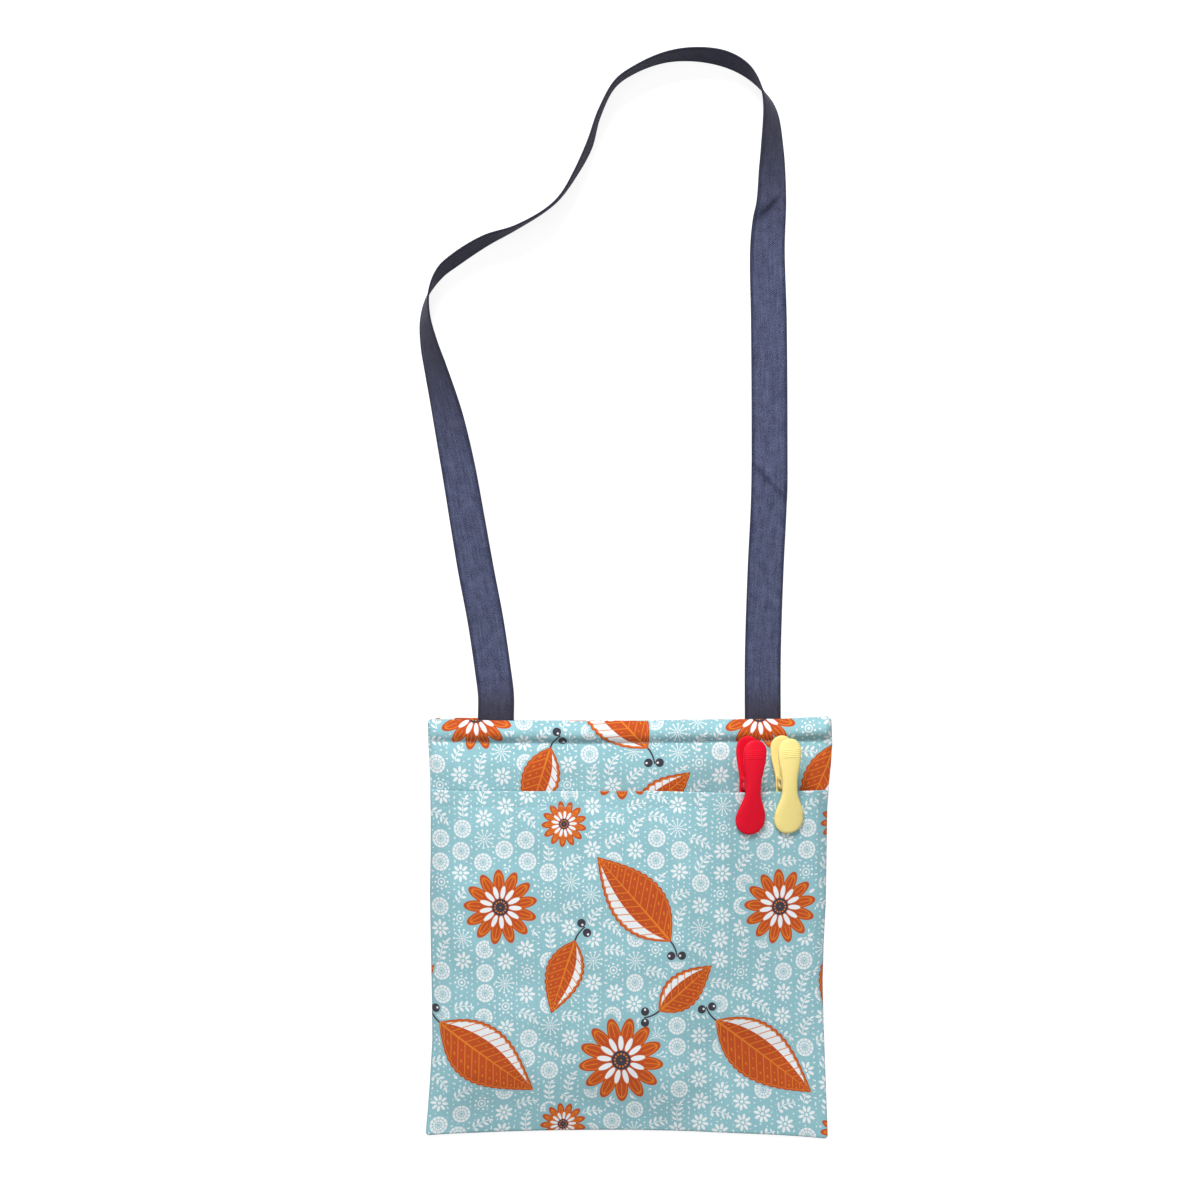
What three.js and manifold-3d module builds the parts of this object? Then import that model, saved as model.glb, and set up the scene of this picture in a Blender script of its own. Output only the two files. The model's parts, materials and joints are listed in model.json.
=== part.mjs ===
import * as THREE from 'three';
import { mergeVertices } from 'three/addons/utils/BufferGeometryUtils.js';
import Module from 'manifold-3d';

const wasm = await Module();
wasm.setup();

// A peg bag lying on its back, in millimetres: +X to the right, +Y towards the strap, +Z up out
// of the front. The origin is the middle of the back panel, on the surface that the bag lies on.

// Bag: a back panel, a front panel and a patch pocket, sewn together at the sides and the bottom
const bagWidth = 336;
const bagHeight = 345;
const sideDraw = 4.5; // how far each side seam is drawn in at half height
const bottomDraw = 4.5; // how far the bottom seam bows up in its middle
const clothThickness = 0.8;
const clothClearance = 0.3;
const hemDepth = 18; // turned hem at the bag's mouth
const hemPuff = 3; // how far the hem's outer layer stands off its inner one
const hemRun = 8; // length over which a panel steps up to its hem
const mainGap = 8.5; // room between the back and the front panel
const pocketDrop = 58; // from the bag's top edge to the pocket's mouth
const pocketHemDepth = 12;
const pocketGap = 7; // room inside the pocket, away from the pegs
const pressedGap = 1; // room that is left behind the pegs, whose weight presses the bag flat

// Strap: one length of webbing, whose two ends are sewn inside the back panel's hem
const strapWidth = 30;
const strapThickness = 1.6;
const strapSpread = 222; // between the middles of the two ends
const strapTail = 25; // length of each sewn end
const foldLead = 1.5; // from the bag's top edge to the line where the strap folds
const strapDrop = 40; // length over which the strap comes down to the ground

// Pegs: two moulded arms on a steel pin, with a torsion spring between them
const pegLength = 80;
const jawWidth = 25;
const waistWidth = 13;
const handleWidth = 19.5;
const jawTaperEnd = 37; // from the jaw's tip to the waist
const handleTaperStart = 42;
const handleTaperEnd = 67;
const pivotFromJaw = 42;
const padLength = 14; // ribbed pad that grips the cloth
const padRibs = 5;
const padRibDepth = 0.5;
const jawPlay = 0.3;
const jawTipDepth = 4.2; // outer face at the jaw's tip, from the peg's middle plane
const jawDepth = 6.6;
const waistDepth = 10.8;
const pivotSplay = 6.4; // inner face at the pin, from the middle plane
const handleSplay = 8.8; // inner face at the handle's tip
const handleBulge = 0.22; // the handle's thickness, as a share of its width
const handleTipBulge = 0.11;
const gripRidges = 5;
const gripPitch = 1.5;
const gripHeight = 0.35;
const pinRadius = 1.1;
const lugWall = 4.2;
const lugThickness = 1.3;
const wireDiameter = 1.1;
const coilTurns = 2.5;
const coilPitch = 1.65;
const springLeg = 20;
const runningClearance = 0.3;

// How the pegs are clipped on the pocket
const pegGrip = 34.5; // from the pocket's edge down to the jaws' tips
const pegFloat = 6; // from the outer peg's back jaw down to the front panel
const pocketSlope = 0.26; // fall of the pocket towards the right seam, over the pegs
const gapeRun = 65; // length over which the pocket's mouth rises towards the pegs
const seamRise = 0.75; // steepness of the pocket beside the right seam
const rampRun = 200; // length over which the raised mouth comes down to the front panel
const redInset = 68; // from the right seam to the peg's middle
const yellowInset = 35;
const pegs = [
  { name: 'red_peg', colour: 0xe8193a, inset: redInset, turn: 0.5 },
  { name: 'yellow_peg', colour: 0xfbe690, inset: yellowInset, turn: -3.2 },
];

const bagSteps = 24;
const strapStepsPerPoint = 2;
const wireSteps = 8;
const wireSides = 5;

// Ways of shaping a solid

// Gives a closed mesh whose faces point out of it.
function closedGeometry(positions, faces) {
  const geometry = new THREE.BufferGeometry();
  geometry.setAttribute('position', new THREE.Float32BufferAttribute(positions, 3));
  let volume = 0;
  const corner = (i) => new THREE.Vector3().fromArray(positions, 3 * faces[i]);
  for (let i = 0; i < faces.length; i += 3) {
    volume += corner(i).dot(corner(i + 1).cross(corner(i + 2)));
  }
  geometry.setIndex(volume < 0 ? faces.toReversed() : faces);
  return geometry;
}

// Joins rings of equally many points into one skin, dividing each quad along its shorter
// diagonal, and caps both ends. The caps are divided in the plane that flat puts a point in.
function loft(rings, flat) {
  const count = rings[0].length;
  const faces = [];
  for (let ring = 0; ring + 1 < rings.length; ring += 1) {
    for (let i = 0; i < count; i += 1) {
      const j = (i + 1) % count;
      const [a, b] = [ring * count + i, ring * count + j];
      const [c, d] = [b + count, a + count];
      const rising = rings[ring][i].distanceTo(rings[ring + 1][j]);
      const falling = rings[ring][j].distanceTo(rings[ring + 1][i]);
      faces.push(...(rising <= falling ? [a, b, c, a, c, d] : [a, b, d, b, c, d]));
    }
  }
  for (const ring of [0, rings.length - 1]) {
    const outline = rings[ring].map(flat);
    const sense = Math.sign(THREE.ShapeUtils.area(outline)) * (ring === 0 ? -1 : 1);
    for (const face of THREE.ShapeUtils.triangulateShape(outline, [])) {
      const turned = Math.sign(THREE.ShapeUtils.area(face.map((i) => outline[i]))) * sense;
      const [a, b, c] = face.map((i) => ring * count + i);
      faces.push(a, ...(turned < 0 ? [c, b] : [b, c]));
    }
  }
  return closedGeometry(rings.flat().flatMap((point) => point.toArray()), faces);
}

function solidOf(geometry) {
  const bare = geometry.clone();
  bare.deleteAttribute('normal');
  bare.deleteAttribute('uv');
  const merged = mergeVertices(bare, 1e-4);
  return new wasm.Manifold(new wasm.Mesh({
    numProp: 3,
    vertProperties: new Float32Array(merged.attributes.position.array),
    triVerts: new Uint32Array(merged.index.array),
  }));
}

function geometryOf(solid) {
  const mesh = solid.getMesh();
  return closedGeometry(Array.from(mesh.vertProperties), Array.from(mesh.triVerts));
}

function named(name, geometry, material) {
  const mesh = new THREE.Mesh(geometry, material);
  mesh.name = name;
  return mesh;
}

// Straight or eased steps between the [place, value] knots of a profile
function along(knots, place, ease = (share) => share) {
  const next = knots.findIndex(([at]) => at >= place);
  if (next <= 0) return next === 0 ? knots[0][1] : knots.at(-1)[1];
  const [from, low] = knots[next - 1];
  const [to, high] = knots[next];
  return THREE.MathUtils.lerp(low, high, ease((place - from) / (to - from)));
}

const eased = (share) => share * share * (3 - 2 * share);
const softly = (from, to, value) => THREE.MathUtils.smoothstep(value, from, to);
const softPlus = (value, width) => width * Math.log1p(Math.exp(value / width));

function softLeast(values, width) {
  return -width * Math.log(values.reduce((sum, value) => sum + Math.exp(-value / width), 0));
}

// Heights of the bag's layers. A place across the bag runs from seam to seam, before the side
// seams are drawn in.

const layer = clothThickness + clothClearance;
const halfBag = bagWidth / 2;
const topY = bagHeight / 2;
const mouthY = topY - pocketDrop;
const strapRoom = 2 * layer + strapThickness + clothClearance;
const puffRun = (bagWidth - strapSpread - strapWidth) / 2; // from a side seam to the strap

const padGap = (clothThickness + layer) / 2 + clothClearance + jawPlay;
const padMiddle = padLength * 0.7;
const outerPeg = halfBag - yellowInset;
const innerPeg = halfBag - redInset;
const pegZone = innerPeg - jawWidth; // where the pegs' weight starts to press the bag flat
const pegLift = layer / 2 + jawDepth + pegFloat + clothThickness / 2;
const gapeEnd = innerPeg - 0.6 * jawWidth; // beside the red peg's jaws
const mouthLift = pegLift + pocketSlope * (outerPeg - gapeEnd + gapeRun / 12); // highest there

const seamX = (y) => halfBag - sideDraw * (1 - (y / topY) ** 2);
const bottomY = (across) => bottomDraw * (1 - (across / halfBag) ** 2) - topY;

function swell(distance, run) {
  const share = THREE.MathUtils.clamp(distance / run, 0, 1);
  return share * (2 - share);
}

// Lower face of the front panel, whose hem clears the hem of the back panel
function frontZ(across, y) {
  const pressed = softly(pegZone - puffRun, pegZone, across);
  const atStrap = softly(mouthY, topY - hemDepth, y);
  const lowGap = THREE.MathUtils.lerp(pressedGap, strapRoom, atStrap);
  const full = THREE.MathUtils.lerp(mainGap, lowGap, pressed);
  const gap = full * swell(halfBag - Math.abs(across), puffRun) * swell(y - bottomY(across), puffRun);
  const hemStep = 2 * layer * softly(topY - hemDepth - hemRun, topY - hemDepth, y);
  return layer + Math.max(gap, hemStep);
}

// Room inside the pocket: an even gap on the left, and a mouth that the pegs hold up on the right
function pocketRoom(across, y) {
  const drop = mouthY - y;
  const share = drop / (mouthY - bottomY(across));
  const fromLeft = swell(across + halfBag, puffRun);
  const even = pocketGap * fromLeft * (1 - softly(0, innerPeg, across));
  const gaping = even + mouthLift * softly(gapeEnd - gapeRun, gapeEnd, across);
  const overPegs = pegLift + pocketSlope * (outerPeg - across);
  const besideSeam = seamRise * (halfBag - across);
  const raised = Math.max(0, softLeast([gaping, overPegs, besideSeam], 0.6));
  const ramp = softPlus(1 - (drop - pegGrip + padMiddle) / rampRun, 0.12);
  const steady = Math.min(even, raised);
  return steady * (1 - share ** 3) + (raised - steady) * ramp;
}

// Lower face of the pocket, whose hem clears the front panel
function pocketZ(across, y) {
  const hemStep = layer * softly(mouthY - pocketHemDepth - hemRun, mouthY - pocketHemDepth, y);
  const open = pocketRoom(across, y) * swell(y - bottomY(across), puffRun);
  return frontZ(across, y) + layer + Math.max(open, hemStep);
}

// Bag panels

// Section of a panel, from its bottom seam up to its mouth: a sheet whose top is turned in to a
// hem. The hem's outer layer may be puffed, and its inner layer lies flat below it.
function hemmedSection(levels, edgeY, depth, puff, lowerZ) {
  const hemStart = edgeY - depth;
  const inside = edgeY - clothThickness;
  const corner = clothThickness / 2;
  const lift = (y) => (y > hemStart ? puff * Math.sin(Math.PI * (edgeY - y) / depth) : 0);
  const hemLevels = [0.25, 0.5, 0.75].map((share) => hemStart + share * depth);
  const sheet = [...levels, hemStart, ...hemLevels];
  const lower = (y) => [y, lowerZ(y) + lift(y)];
  const upper = (y) => [y, lowerZ(y) + lift(y) + clothThickness];
  const turnedUpper = (y) => [y, lowerZ(y) - clothClearance];
  const turnedLower = (y) => [y, lowerZ(y) - layer];
  return [
    ...[...sheet, inside].map(lower),
    ...[inside, hemLevels[1], hemStart].map(turnedUpper),
    ...[hemStart, hemLevels[1], edgeY - corner].map(turnedLower),
    [edgeY, lowerZ(edgeY) - layer + corner],
    [edgeY, lowerZ(edgeY) + clothThickness - corner],
    ...[edgeY - corner, ...sheet.toReversed()].map(upper),
  ];
}

function panel(section) {
  const rings = [];
  for (let step = 0; step <= bagSteps; step += 1) {
    const even = (2 * step) / bagSteps - 1;
    const share = THREE.MathUtils.lerp(even, Math.sin((Math.PI * even) / 2), 0.6);
    rings.push(section(share * halfBag).map(([y, z]) => new THREE.Vector3(share * seamX(y), y, z)));
  }
  return loft(rings, (point) => new THREE.Vector2(point.y, point.z));
}

// Heights at which the panels are divided below the pocket's mouth, the same on each of them
function pocketLevels(across) {
  const bottom = bottomY(across);
  const shares = [0, 0.03, 0.07, 0.12, 0.2, 0.32, 0.45, 0.58, 0.7, 0.82];
  const hemLevel = mouthY - pocketHemDepth;
  return [...shares.map((share) => bottom + share * (mouthY - bottom)), hemLevel - hemRun];
}

const printedCotton = () => new THREE.MeshStandardMaterial({ color: 0x9cc3cb, roughness: 0.9 });

function backPanel() {
  const section = (across) => {
    const levels = [0, 0.25, 0.5, 0.75].map((share) => THREE.MathUtils.lerp(bottomY(across), mouthY, share));
    const facingUp = hemmedSection([...levels, mouthY], topY, hemDepth, 0, () => 0);
    return facingUp.map(([y, z]) => [y, clothThickness - z]);
  };
  return named('back_panel', panel(section), printedCotton());
}

function frontPanel() {
  const section = (across) => {
    const hemStart = topY - hemDepth;
    const aboveMouth = [0, 0.35, 0.7].map((share) => THREE.MathUtils.lerp(mouthY, hemStart - hemRun, share));
    const levels = [...pocketLevels(across), mouthY - pocketHemDepth, ...aboveMouth, hemStart - hemRun];
    return hemmedSection(levels, topY, hemDepth, hemPuff, (y) => frontZ(across, y));
  };
  return named('front_panel', panel(section), printedCotton());
}

function pocketPanel() {
  const section = (across) => (
    hemmedSection(pocketLevels(across), mouthY, pocketHemDepth, 0, (y) => pocketZ(across, y))
  );
  return named('pocket_panel', panel(section), printedCotton());
}

// Strap

const webbing = () => new THREE.MeshStandardMaterial({ color: 0x565a72, roughness: 0.85 });
const tailZ = clothThickness + layer + clothClearance; // lower face of a sewn end
const foldY = topY + foldLead;

function strapEnd(name, side) {
  const length = strapTail + foldLead - clothClearance / 2;
  const end = named(name, new THREE.BoxGeometry(strapWidth, length, strapThickness), webbing());
  end.position.set(side * strapSpread / 2, topY - strapTail + length / 2, tailZ + strapThickness / 2);
  return end;
}

// The strap's way over the ground, from its left end round to its right one: across the bag, up
// from the bag's top edge, and the angle at which the inner edge is turned up, where 0 is flat.
const strapRoute = [
  [-strapSpread / 2, foldLead + clothClearance / 2, 0],
  [-strapSpread / 2, 20.8, 0],
  [-113.6, 41.7, 0],
  [-119.8, 83.3, 0],
  [-127.7, 125, 2],
  [-134.8, 166.7, 10],
  [-141.9, 208.3, 17],
  [-150.2, 250, 30],
  [-155.2, 270.8, 40],
  [-160.7, 291.7, 50],
  [-166.1, 312.5, 60],
  [-169, 333.3, 71],
  [-166.6, 352.1, 83],
  [-156.7, 370.4, 96],
  [-144.2, 381.1, 100],
  [-119.5, 396.8, 97],
  [-94.7, 407.5, 87],
  [-69.9, 422, 88],
  [-57.5, 433.2, 90],
  [-45.1, 452.2, 94],
  [-33.1, 476.2, 95],
  [-25, 502, 91],
  [-12, 526.6, 88],
  [4.5, 538.6, 88],
  [29.3, 548.5, 92],
  [54.1, 551, 97],
  [78.9, 547.2, 100],
  [97, 537.5, 95],
  [109.5, 522.5, 81],
  [116.2, 506.7, 65],
  [118.3, 476.7, 49],
  [117.7, 435.8, 31],
  [114.9, 395, 13],
  [116.2, 333.3, 2],
  [116.8, 250, 0],
  [116.4, 187.5, 0],
  [113.5, 125, 0],
  [111.4, 62.5, 0],
  [strapSpread / 2, 20.8, 0],
  [strapSpread / 2, foldLead + clothClearance / 2, 0],
];

function shoulderStrap() {
  const way = new THREE.CatmullRomCurve3(strapRoute.map(([x, up]) => new THREE.Vector3(x, topY + up, 0)));
  const turn = new THREE.SplineCurve(strapRoute.map(([, , angle], i) => new THREE.Vector2(i, angle)));
  const steps = strapStepsPerPoint * (strapRoute.length - 1);
  const rings = [];
  for (let step = 0; step <= steps; step += 1) {
    const middle = way.getPoint(step / steps);
    const tangent = way.getTangent(step / steps);
    const angle = THREE.MathUtils.degToRad(turn.getPoint(step / steps).y);
    const inwards = new THREE.Vector3(tangent.y, -tangent.x, 0);
    const upwards = new THREE.Vector3(0, 0, 1);
    const width = inwards.clone().multiplyScalar(Math.cos(angle)).addScaledVector(upwards, Math.sin(angle));
    const depth = upwards.clone().multiplyScalar(Math.cos(angle)).addScaledVector(inwards, -Math.sin(angle));
    const lifted = tailZ * (1 - softly(0, strapDrop, middle.y - foldY));
    const standing = strapWidth * Math.abs(Math.sin(angle)) + strapThickness * Math.abs(Math.cos(angle));
    middle.z = lifted + standing / 2;
    const corners = [[1, 1], [-1, 1], [-1, -1], [1, -1]];
    rings.push(corners.map(([w, d]) => (
      middle.clone().addScaledVector(width, w * strapWidth / 2).addScaledVector(depth, d * strapThickness / 2)
    )));
  }
  const flat = (point) => new THREE.Vector2(point.x, point.z);
  return named('shoulder_strap', loft(rings, flat), webbing());
}

// Pegs. A peg's own frame has its origin on the pin, +X along the pin, +Y towards the handles'
// tips and +Z out of the front arm.

const lugRadius = pinRadius + runningClearance + lugWall;
const coilRadius = pinRadius + runningClearance + wireDiameter / 2;
const coilHalf = (coilTurns * coilPitch + wireDiameter) / 2;
const frontLug = coilHalf + runningClearance;
const backLug = frontLug + lugThickness + runningClearance;
const pinLength = 2 * (backLug + lugThickness);

const armInner = [
  [0, padGap],
  [padLength, padGap],
  [padLength + 4, padGap + padRibDepth + 1],
  [pivotFromJaw - lugRadius, pivotSplay],
  [pivotFromJaw + lugRadius, pivotSplay],
  [pegLength, handleSplay],
];
const armOuter = [
  [0, jawTipDepth],
  [padLength, jawDepth],
  [pivotFromJaw, waistDepth],
  [handleTaperEnd, along(armInner, handleTaperEnd) + handleBulge * handleWidth],
  [pegLength, handleSplay + handleTipBulge * handleWidth],
];
const armWidth = [
  [padLength, jawWidth],
  [jawTaperEnd, waistWidth],
  [handleTaperStart, waistWidth],
  [handleTaperEnd, handleWidth],
];

// Half the width at a place that is so far from a rounded tip
function tipHalf(distance, radius) {
  return distance < radius ? Math.sqrt(radius ** 2 - (radius - distance) ** 2) : radius;
}

// Places along an arm where its section changes, with how deep the pad is cut and how high the
// grip stands there
function armStations() {
  const tip = 0.35;
  const stations = [{ at: tip }, { at: 3 * tip }];
  const padStart = 6 * tip;
  const ribStep = (padLength - padStart) / (2 * padRibs - 1);
  for (let rib = 0; rib < 2 * padRibs; rib += 1) {
    stations.push({ at: padStart + rib * ribStep, cut: rib % 2 ? padRibDepth : 0 });
  }
  const gripEnd = pegLength - handleWidth / 2 + gripPitch;
  const gripStart = gripEnd - gripRidges * gripPitch;
  const shank = 11;
  for (let step = 1; step < shank; step += 1) {
    stations.push({ at: THREE.MathUtils.lerp(padLength, gripStart - gripPitch / 2, step / shank) });
  }
  for (let ridge = 0; ridge <= 2 * gripRidges; ridge += 1) {
    stations.push({ at: gripStart + (ridge * gripPitch) / 2, raised: ridge % 2 ? gripHeight : 0 });
  }
  const left = pegLength - gripEnd;
  for (const share of [0.35, 0.6, 0.8, 0.92]) stations.push({ at: gripEnd + share * left });
  stations.push({ at: pegLength - tip });
  return stations;
}

// One arm: a moulded bar with a flat inner side, a domed outer side, a round spoon of a jaw and a
// round handle, with two lugs for the pin
function armGeometry(lugStart) {
  const dome = 8;
  const rings = armStations().map(({ at, cut = 0, raised = 0 }) => {
    const straight = along(armWidth, at, eased) / 2;
    const jawTip = tipHalf(at, jawWidth / 2);
    const handleTip = tipHalf(pegLength - at, handleWidth / 2);
    const half = Math.min(straight, jawTip, at > pivotFromJaw ? handleTip : straight);
    const inner = along(armInner, at) + cut;
    const outer = along(armOuter, at, eased) + raised;
    const rim = inner + 0.4 * (outer - inner);
    const ring = [new THREE.Vector3(-half, at, inner), new THREE.Vector3(half, at, inner)];
    for (let step = 0; step <= dome; step += 1) {
      const angle = (Math.PI * step) / dome;
      const height = rim + (outer - rim) * Math.sin(angle);
      ring.push(new THREE.Vector3(half * Math.cos(angle), at, height));
    }
    return ring;
  });
  const bar = loft(rings, (point) => new THREE.Vector2(point.x, point.z)).translate(0, -pivotFromJaw, 0);
  const lug = lugGeometry();
  const toRight = solidOf(lug.clone().translate(lugStart, 0, 0));
  const toLeft = solidOf(lug.clone().translate(-lugStart - lugThickness, 0, 0));
  return geometryOf(solidOf(bar).add(toRight).add(toLeft));
}

// A lug round the pin's bore, standing on the arm's inner side
function lugGeometry() {
  const root = pivotSplay + lugThickness;
  const outline = new THREE.Shape();
  outline.moveTo(-lugRadius, root);
  outline.lineTo(-lugRadius, 0);
  outline.absarc(0, 0, lugRadius, Math.PI, 2 * Math.PI);
  outline.lineTo(lugRadius, root);
  const bore = new THREE.Path();
  bore.absarc(0, 0, pinRadius + runningClearance, 0, 2 * Math.PI);
  outline.holes.push(bore);
  const thickness = { depth: lugThickness, bevelEnabled: false, curveSegments: 8 };
  const lug = new THREE.ExtrudeGeometry(outline, thickness);
  const acrossPeg = new THREE.Matrix4().makeBasis(
    new THREE.Vector3(0, 1, 0),
    new THREE.Vector3(0, 0, 1),
    new THREE.Vector3(1, 0, 0),
  );
  return lug.applyMatrix4(acrossPeg);
}

// Torsion spring: a coil round the pin, with one leg under each handle
function springGeometry() {
  const legRise = along(armInner, pivotFromJaw + springLeg) - runningClearance - wireDiameter / 2;
  const legSlope = (legRise - coilRadius) / springLeg;
  const start = -coilTurns * coilPitch / 2;
  const points = [
    new THREE.Vector3(start, springLeg, legRise),
    new THREE.Vector3(start, springLeg - wireDiameter, legRise - wireDiameter * legSlope),
  ];
  const steps = coilTurns * wireSteps;
  for (let step = 0; step <= steps; step += 1) {
    const angle = Math.PI / 2 + (2 * Math.PI * step) / wireSteps;
    const x = start + (coilPitch * step) / wireSteps;
    points.push(new THREE.Vector3(x, coilRadius * Math.cos(angle), coilRadius * Math.sin(angle)));
  }
  const ends = points.slice(0, 2).map((point) => new THREE.Vector3(-start, point.y, -point.z));
  points.push(...ends.toReversed());
  console.log(`Spring: least gap from wire to wire ${leastGap(points, wireSteps).toFixed(2)} mm`);
  const pin = new THREE.Vector3(1, 0, 0);
  const rings = points.map((point, i) => {
    const before = points[Math.max(i - 1, 0)];
    const after = points[Math.min(i + 1, points.length - 1)];
    const tangent = after.clone().sub(before).normalize();
    const outwards = tangent.clone().cross(pin).normalize();
    const sideways = tangent.clone().cross(outwards);
    return Array.from({ length: wireSides }, (_, side) => {
      const angle = (2 * Math.PI * side) / wireSides;
      return point.clone()
        .addScaledVector(outwards, Math.cos(angle) * wireDiameter / 2)
        .addScaledVector(sideways, Math.sin(angle) * wireDiameter / 2);
    });
  });
  return loft(rings, (point) => new THREE.Vector2(point.x, point.z));
}

// Least gap between stretches of a wire that are at least one turn apart
function leastGap(points, turn) {
  let least = Infinity;
  for (let i = 0; i < points.length; i += 1) {
    for (let j = i + turn; j < points.length; j += 1) {
      least = Math.min(least, points[i].distanceTo(points[j]) - wireDiameter);
    }
  }
  return least;
}

const frontArm = armGeometry(frontLug);
const backArm = armGeometry(backLug).rotateY(Math.PI);
const pinShape = new THREE.CylinderGeometry(pinRadius, pinRadius, pinLength, 12).rotateZ(Math.PI / 2);
const springShape = springGeometry();

// Middle of the pocket's cloth at a place across the bag and a height up it
function clothPoint(across, y) {
  return new THREE.Vector3((across / halfBag) * seamX(y), y, pocketZ(across, y) + clothThickness / 2);
}

// A peg clipped over the pocket's edge, lying in the plane of the cloth between its jaws
function clippedPeg({ name, colour, inset, turn }) {
  const plastic = () => new THREE.MeshStandardMaterial({ color: colour, roughness: 0.5 });
  const steel = () => new THREE.MeshStandardMaterial({ color: 0xb4b6ba, roughness: 0.3, metalness: 1 });
  const peg = new THREE.Group();
  peg.add(named(`${name}_front_arm`, frontArm, plastic()));
  peg.add(named(`${name}_back_arm`, backArm, plastic()));
  peg.add(named(`${name}_pin`, pinShape, steel()));
  peg.add(named(`${name}_spring`, springShape, steel()));

  const across = halfBag - inset;
  const padY = mouthY - pegGrip + padMiddle;
  const lean = THREE.MathUtils.degToRad(turn);
  const reach = pegGrip - padMiddle;
  const pad = clothPoint(across, padY);
  const edge = clothPoint(across + reach * Math.sin(lean), padY + reach * Math.cos(lean));
  const right = clothPoint(across + jawWidth / 2, padY).sub(clothPoint(across - jawWidth / 2, padY));
  const upPeg = edge.sub(pad).normalize();
  const outPeg = right.cross(upPeg).normalize();
  const alongPin = upPeg.clone().cross(outPeg);
  peg.quaternion.setFromRotationMatrix(new THREE.Matrix4().makeBasis(alongPin, upPeg, outPeg));
  peg.position.copy(pad);
  peg.position.addScaledVector(upPeg, pivotFromJaw - padMiddle);
  peg.position.addScaledVector(outPeg, -layer / 2);
  return peg;
}

const pegBag = new THREE.Group();
pegBag.name = 'peg_bag';
pegBag.add(backPanel(), frontPanel(), pocketPanel());
pegBag.add(strapEnd('strap_end_left', -1), strapEnd('strap_end_right', 1), shoulderStrap());
pegBag.add(...pegs.map(clippedPeg));

export default pegBag;
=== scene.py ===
import json

import bpy
import numpy as np
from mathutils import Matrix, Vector


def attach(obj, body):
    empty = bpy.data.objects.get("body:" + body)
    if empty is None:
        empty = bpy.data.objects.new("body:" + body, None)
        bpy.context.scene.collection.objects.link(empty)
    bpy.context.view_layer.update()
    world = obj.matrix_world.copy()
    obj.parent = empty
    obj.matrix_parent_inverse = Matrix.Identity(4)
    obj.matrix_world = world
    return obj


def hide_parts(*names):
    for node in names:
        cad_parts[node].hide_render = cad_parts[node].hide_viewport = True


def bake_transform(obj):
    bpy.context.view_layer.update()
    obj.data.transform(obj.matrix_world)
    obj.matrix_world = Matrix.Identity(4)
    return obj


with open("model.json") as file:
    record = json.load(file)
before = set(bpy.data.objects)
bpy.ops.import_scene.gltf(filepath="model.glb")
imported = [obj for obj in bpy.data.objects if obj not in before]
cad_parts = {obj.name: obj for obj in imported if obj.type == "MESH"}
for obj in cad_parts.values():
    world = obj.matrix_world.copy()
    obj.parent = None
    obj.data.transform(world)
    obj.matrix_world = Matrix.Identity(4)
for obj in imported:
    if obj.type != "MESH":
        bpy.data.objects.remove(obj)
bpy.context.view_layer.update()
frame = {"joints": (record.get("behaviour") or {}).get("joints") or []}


# Table, camera and lamps
# The bag lies on its back on a white table under a camera 1.8 m up. A broad lamp beyond the strap's
# loop, a little to the left, throws shadows towards the bag's bottom, and a soft one hangs overhead.

scene = bpy.context.scene
scene.view_settings.view_transform = "Standard"

camera_height = 1.8
picture_middle, picture_width = (-0.0244, 0.2725), 1.0
camera = bpy.data.objects.new("camera", bpy.data.cameras.new("camera"))
camera.location = (*picture_middle, camera_height)
camera.data.lens = camera.data.sensor_width * camera_height / picture_width
scene.collection.objects.link(camera)
scene.camera = camera


def soft_lamp(name, place, aim, width, height, power):
    """A rectangular lamp in metres and watts, turned towards aim, that the camera doesn't see."""
    lamp = bpy.data.lights.new(name, "AREA")
    lamp.shape = "RECTANGLE"
    lamp.size = width
    lamp.size_y = height
    lamp.energy = power
    holder = bpy.data.objects.new(name, lamp)
    holder.location = place
    holder.rotation_euler = (Vector(aim) - Vector(place)).to_track_quat("-Z", "Y").to_euler()
    holder.visible_camera = False
    scene.collection.objects.link(holder)


soft_lamp("window_lamp", place=(-0.28, 1.85, 1.45), aim=(0, 0.15, 0), width=0.8, height=0.6, power=51)
soft_lamp("ceiling_lamp", place=(0, 0.3, 2.4), aim=(0, 0.3, 0), width=2.2, height=2.2, power=22.5)


def feed(socket, value):
    """Links a socket to what is drawn or to another socket, or sets it to a plain value."""
    if isinstance(value, Drawn):
        value = value.socket
    if isinstance(value, bpy.types.NodeSocket):
        socket.id_data.links.new(value, socket)
    else:
        socket.default_value = value


def feed_all(node, *values, **inputs):
    """Feeds a node's inputs in their order, or by their names with underscores for spaces."""
    for socket, value in zip(node.inputs, values):
        feed(socket, value)
    for name, value in inputs.items():
        feed(node.inputs[name.replace("_", " ")], value)
    return node


def add_node(tree, kind, *values, **inputs):
    """A new node of that kind, with values or links on its inputs."""
    return feed_all(tree.nodes.new(kind), *values, **inputs)


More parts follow.
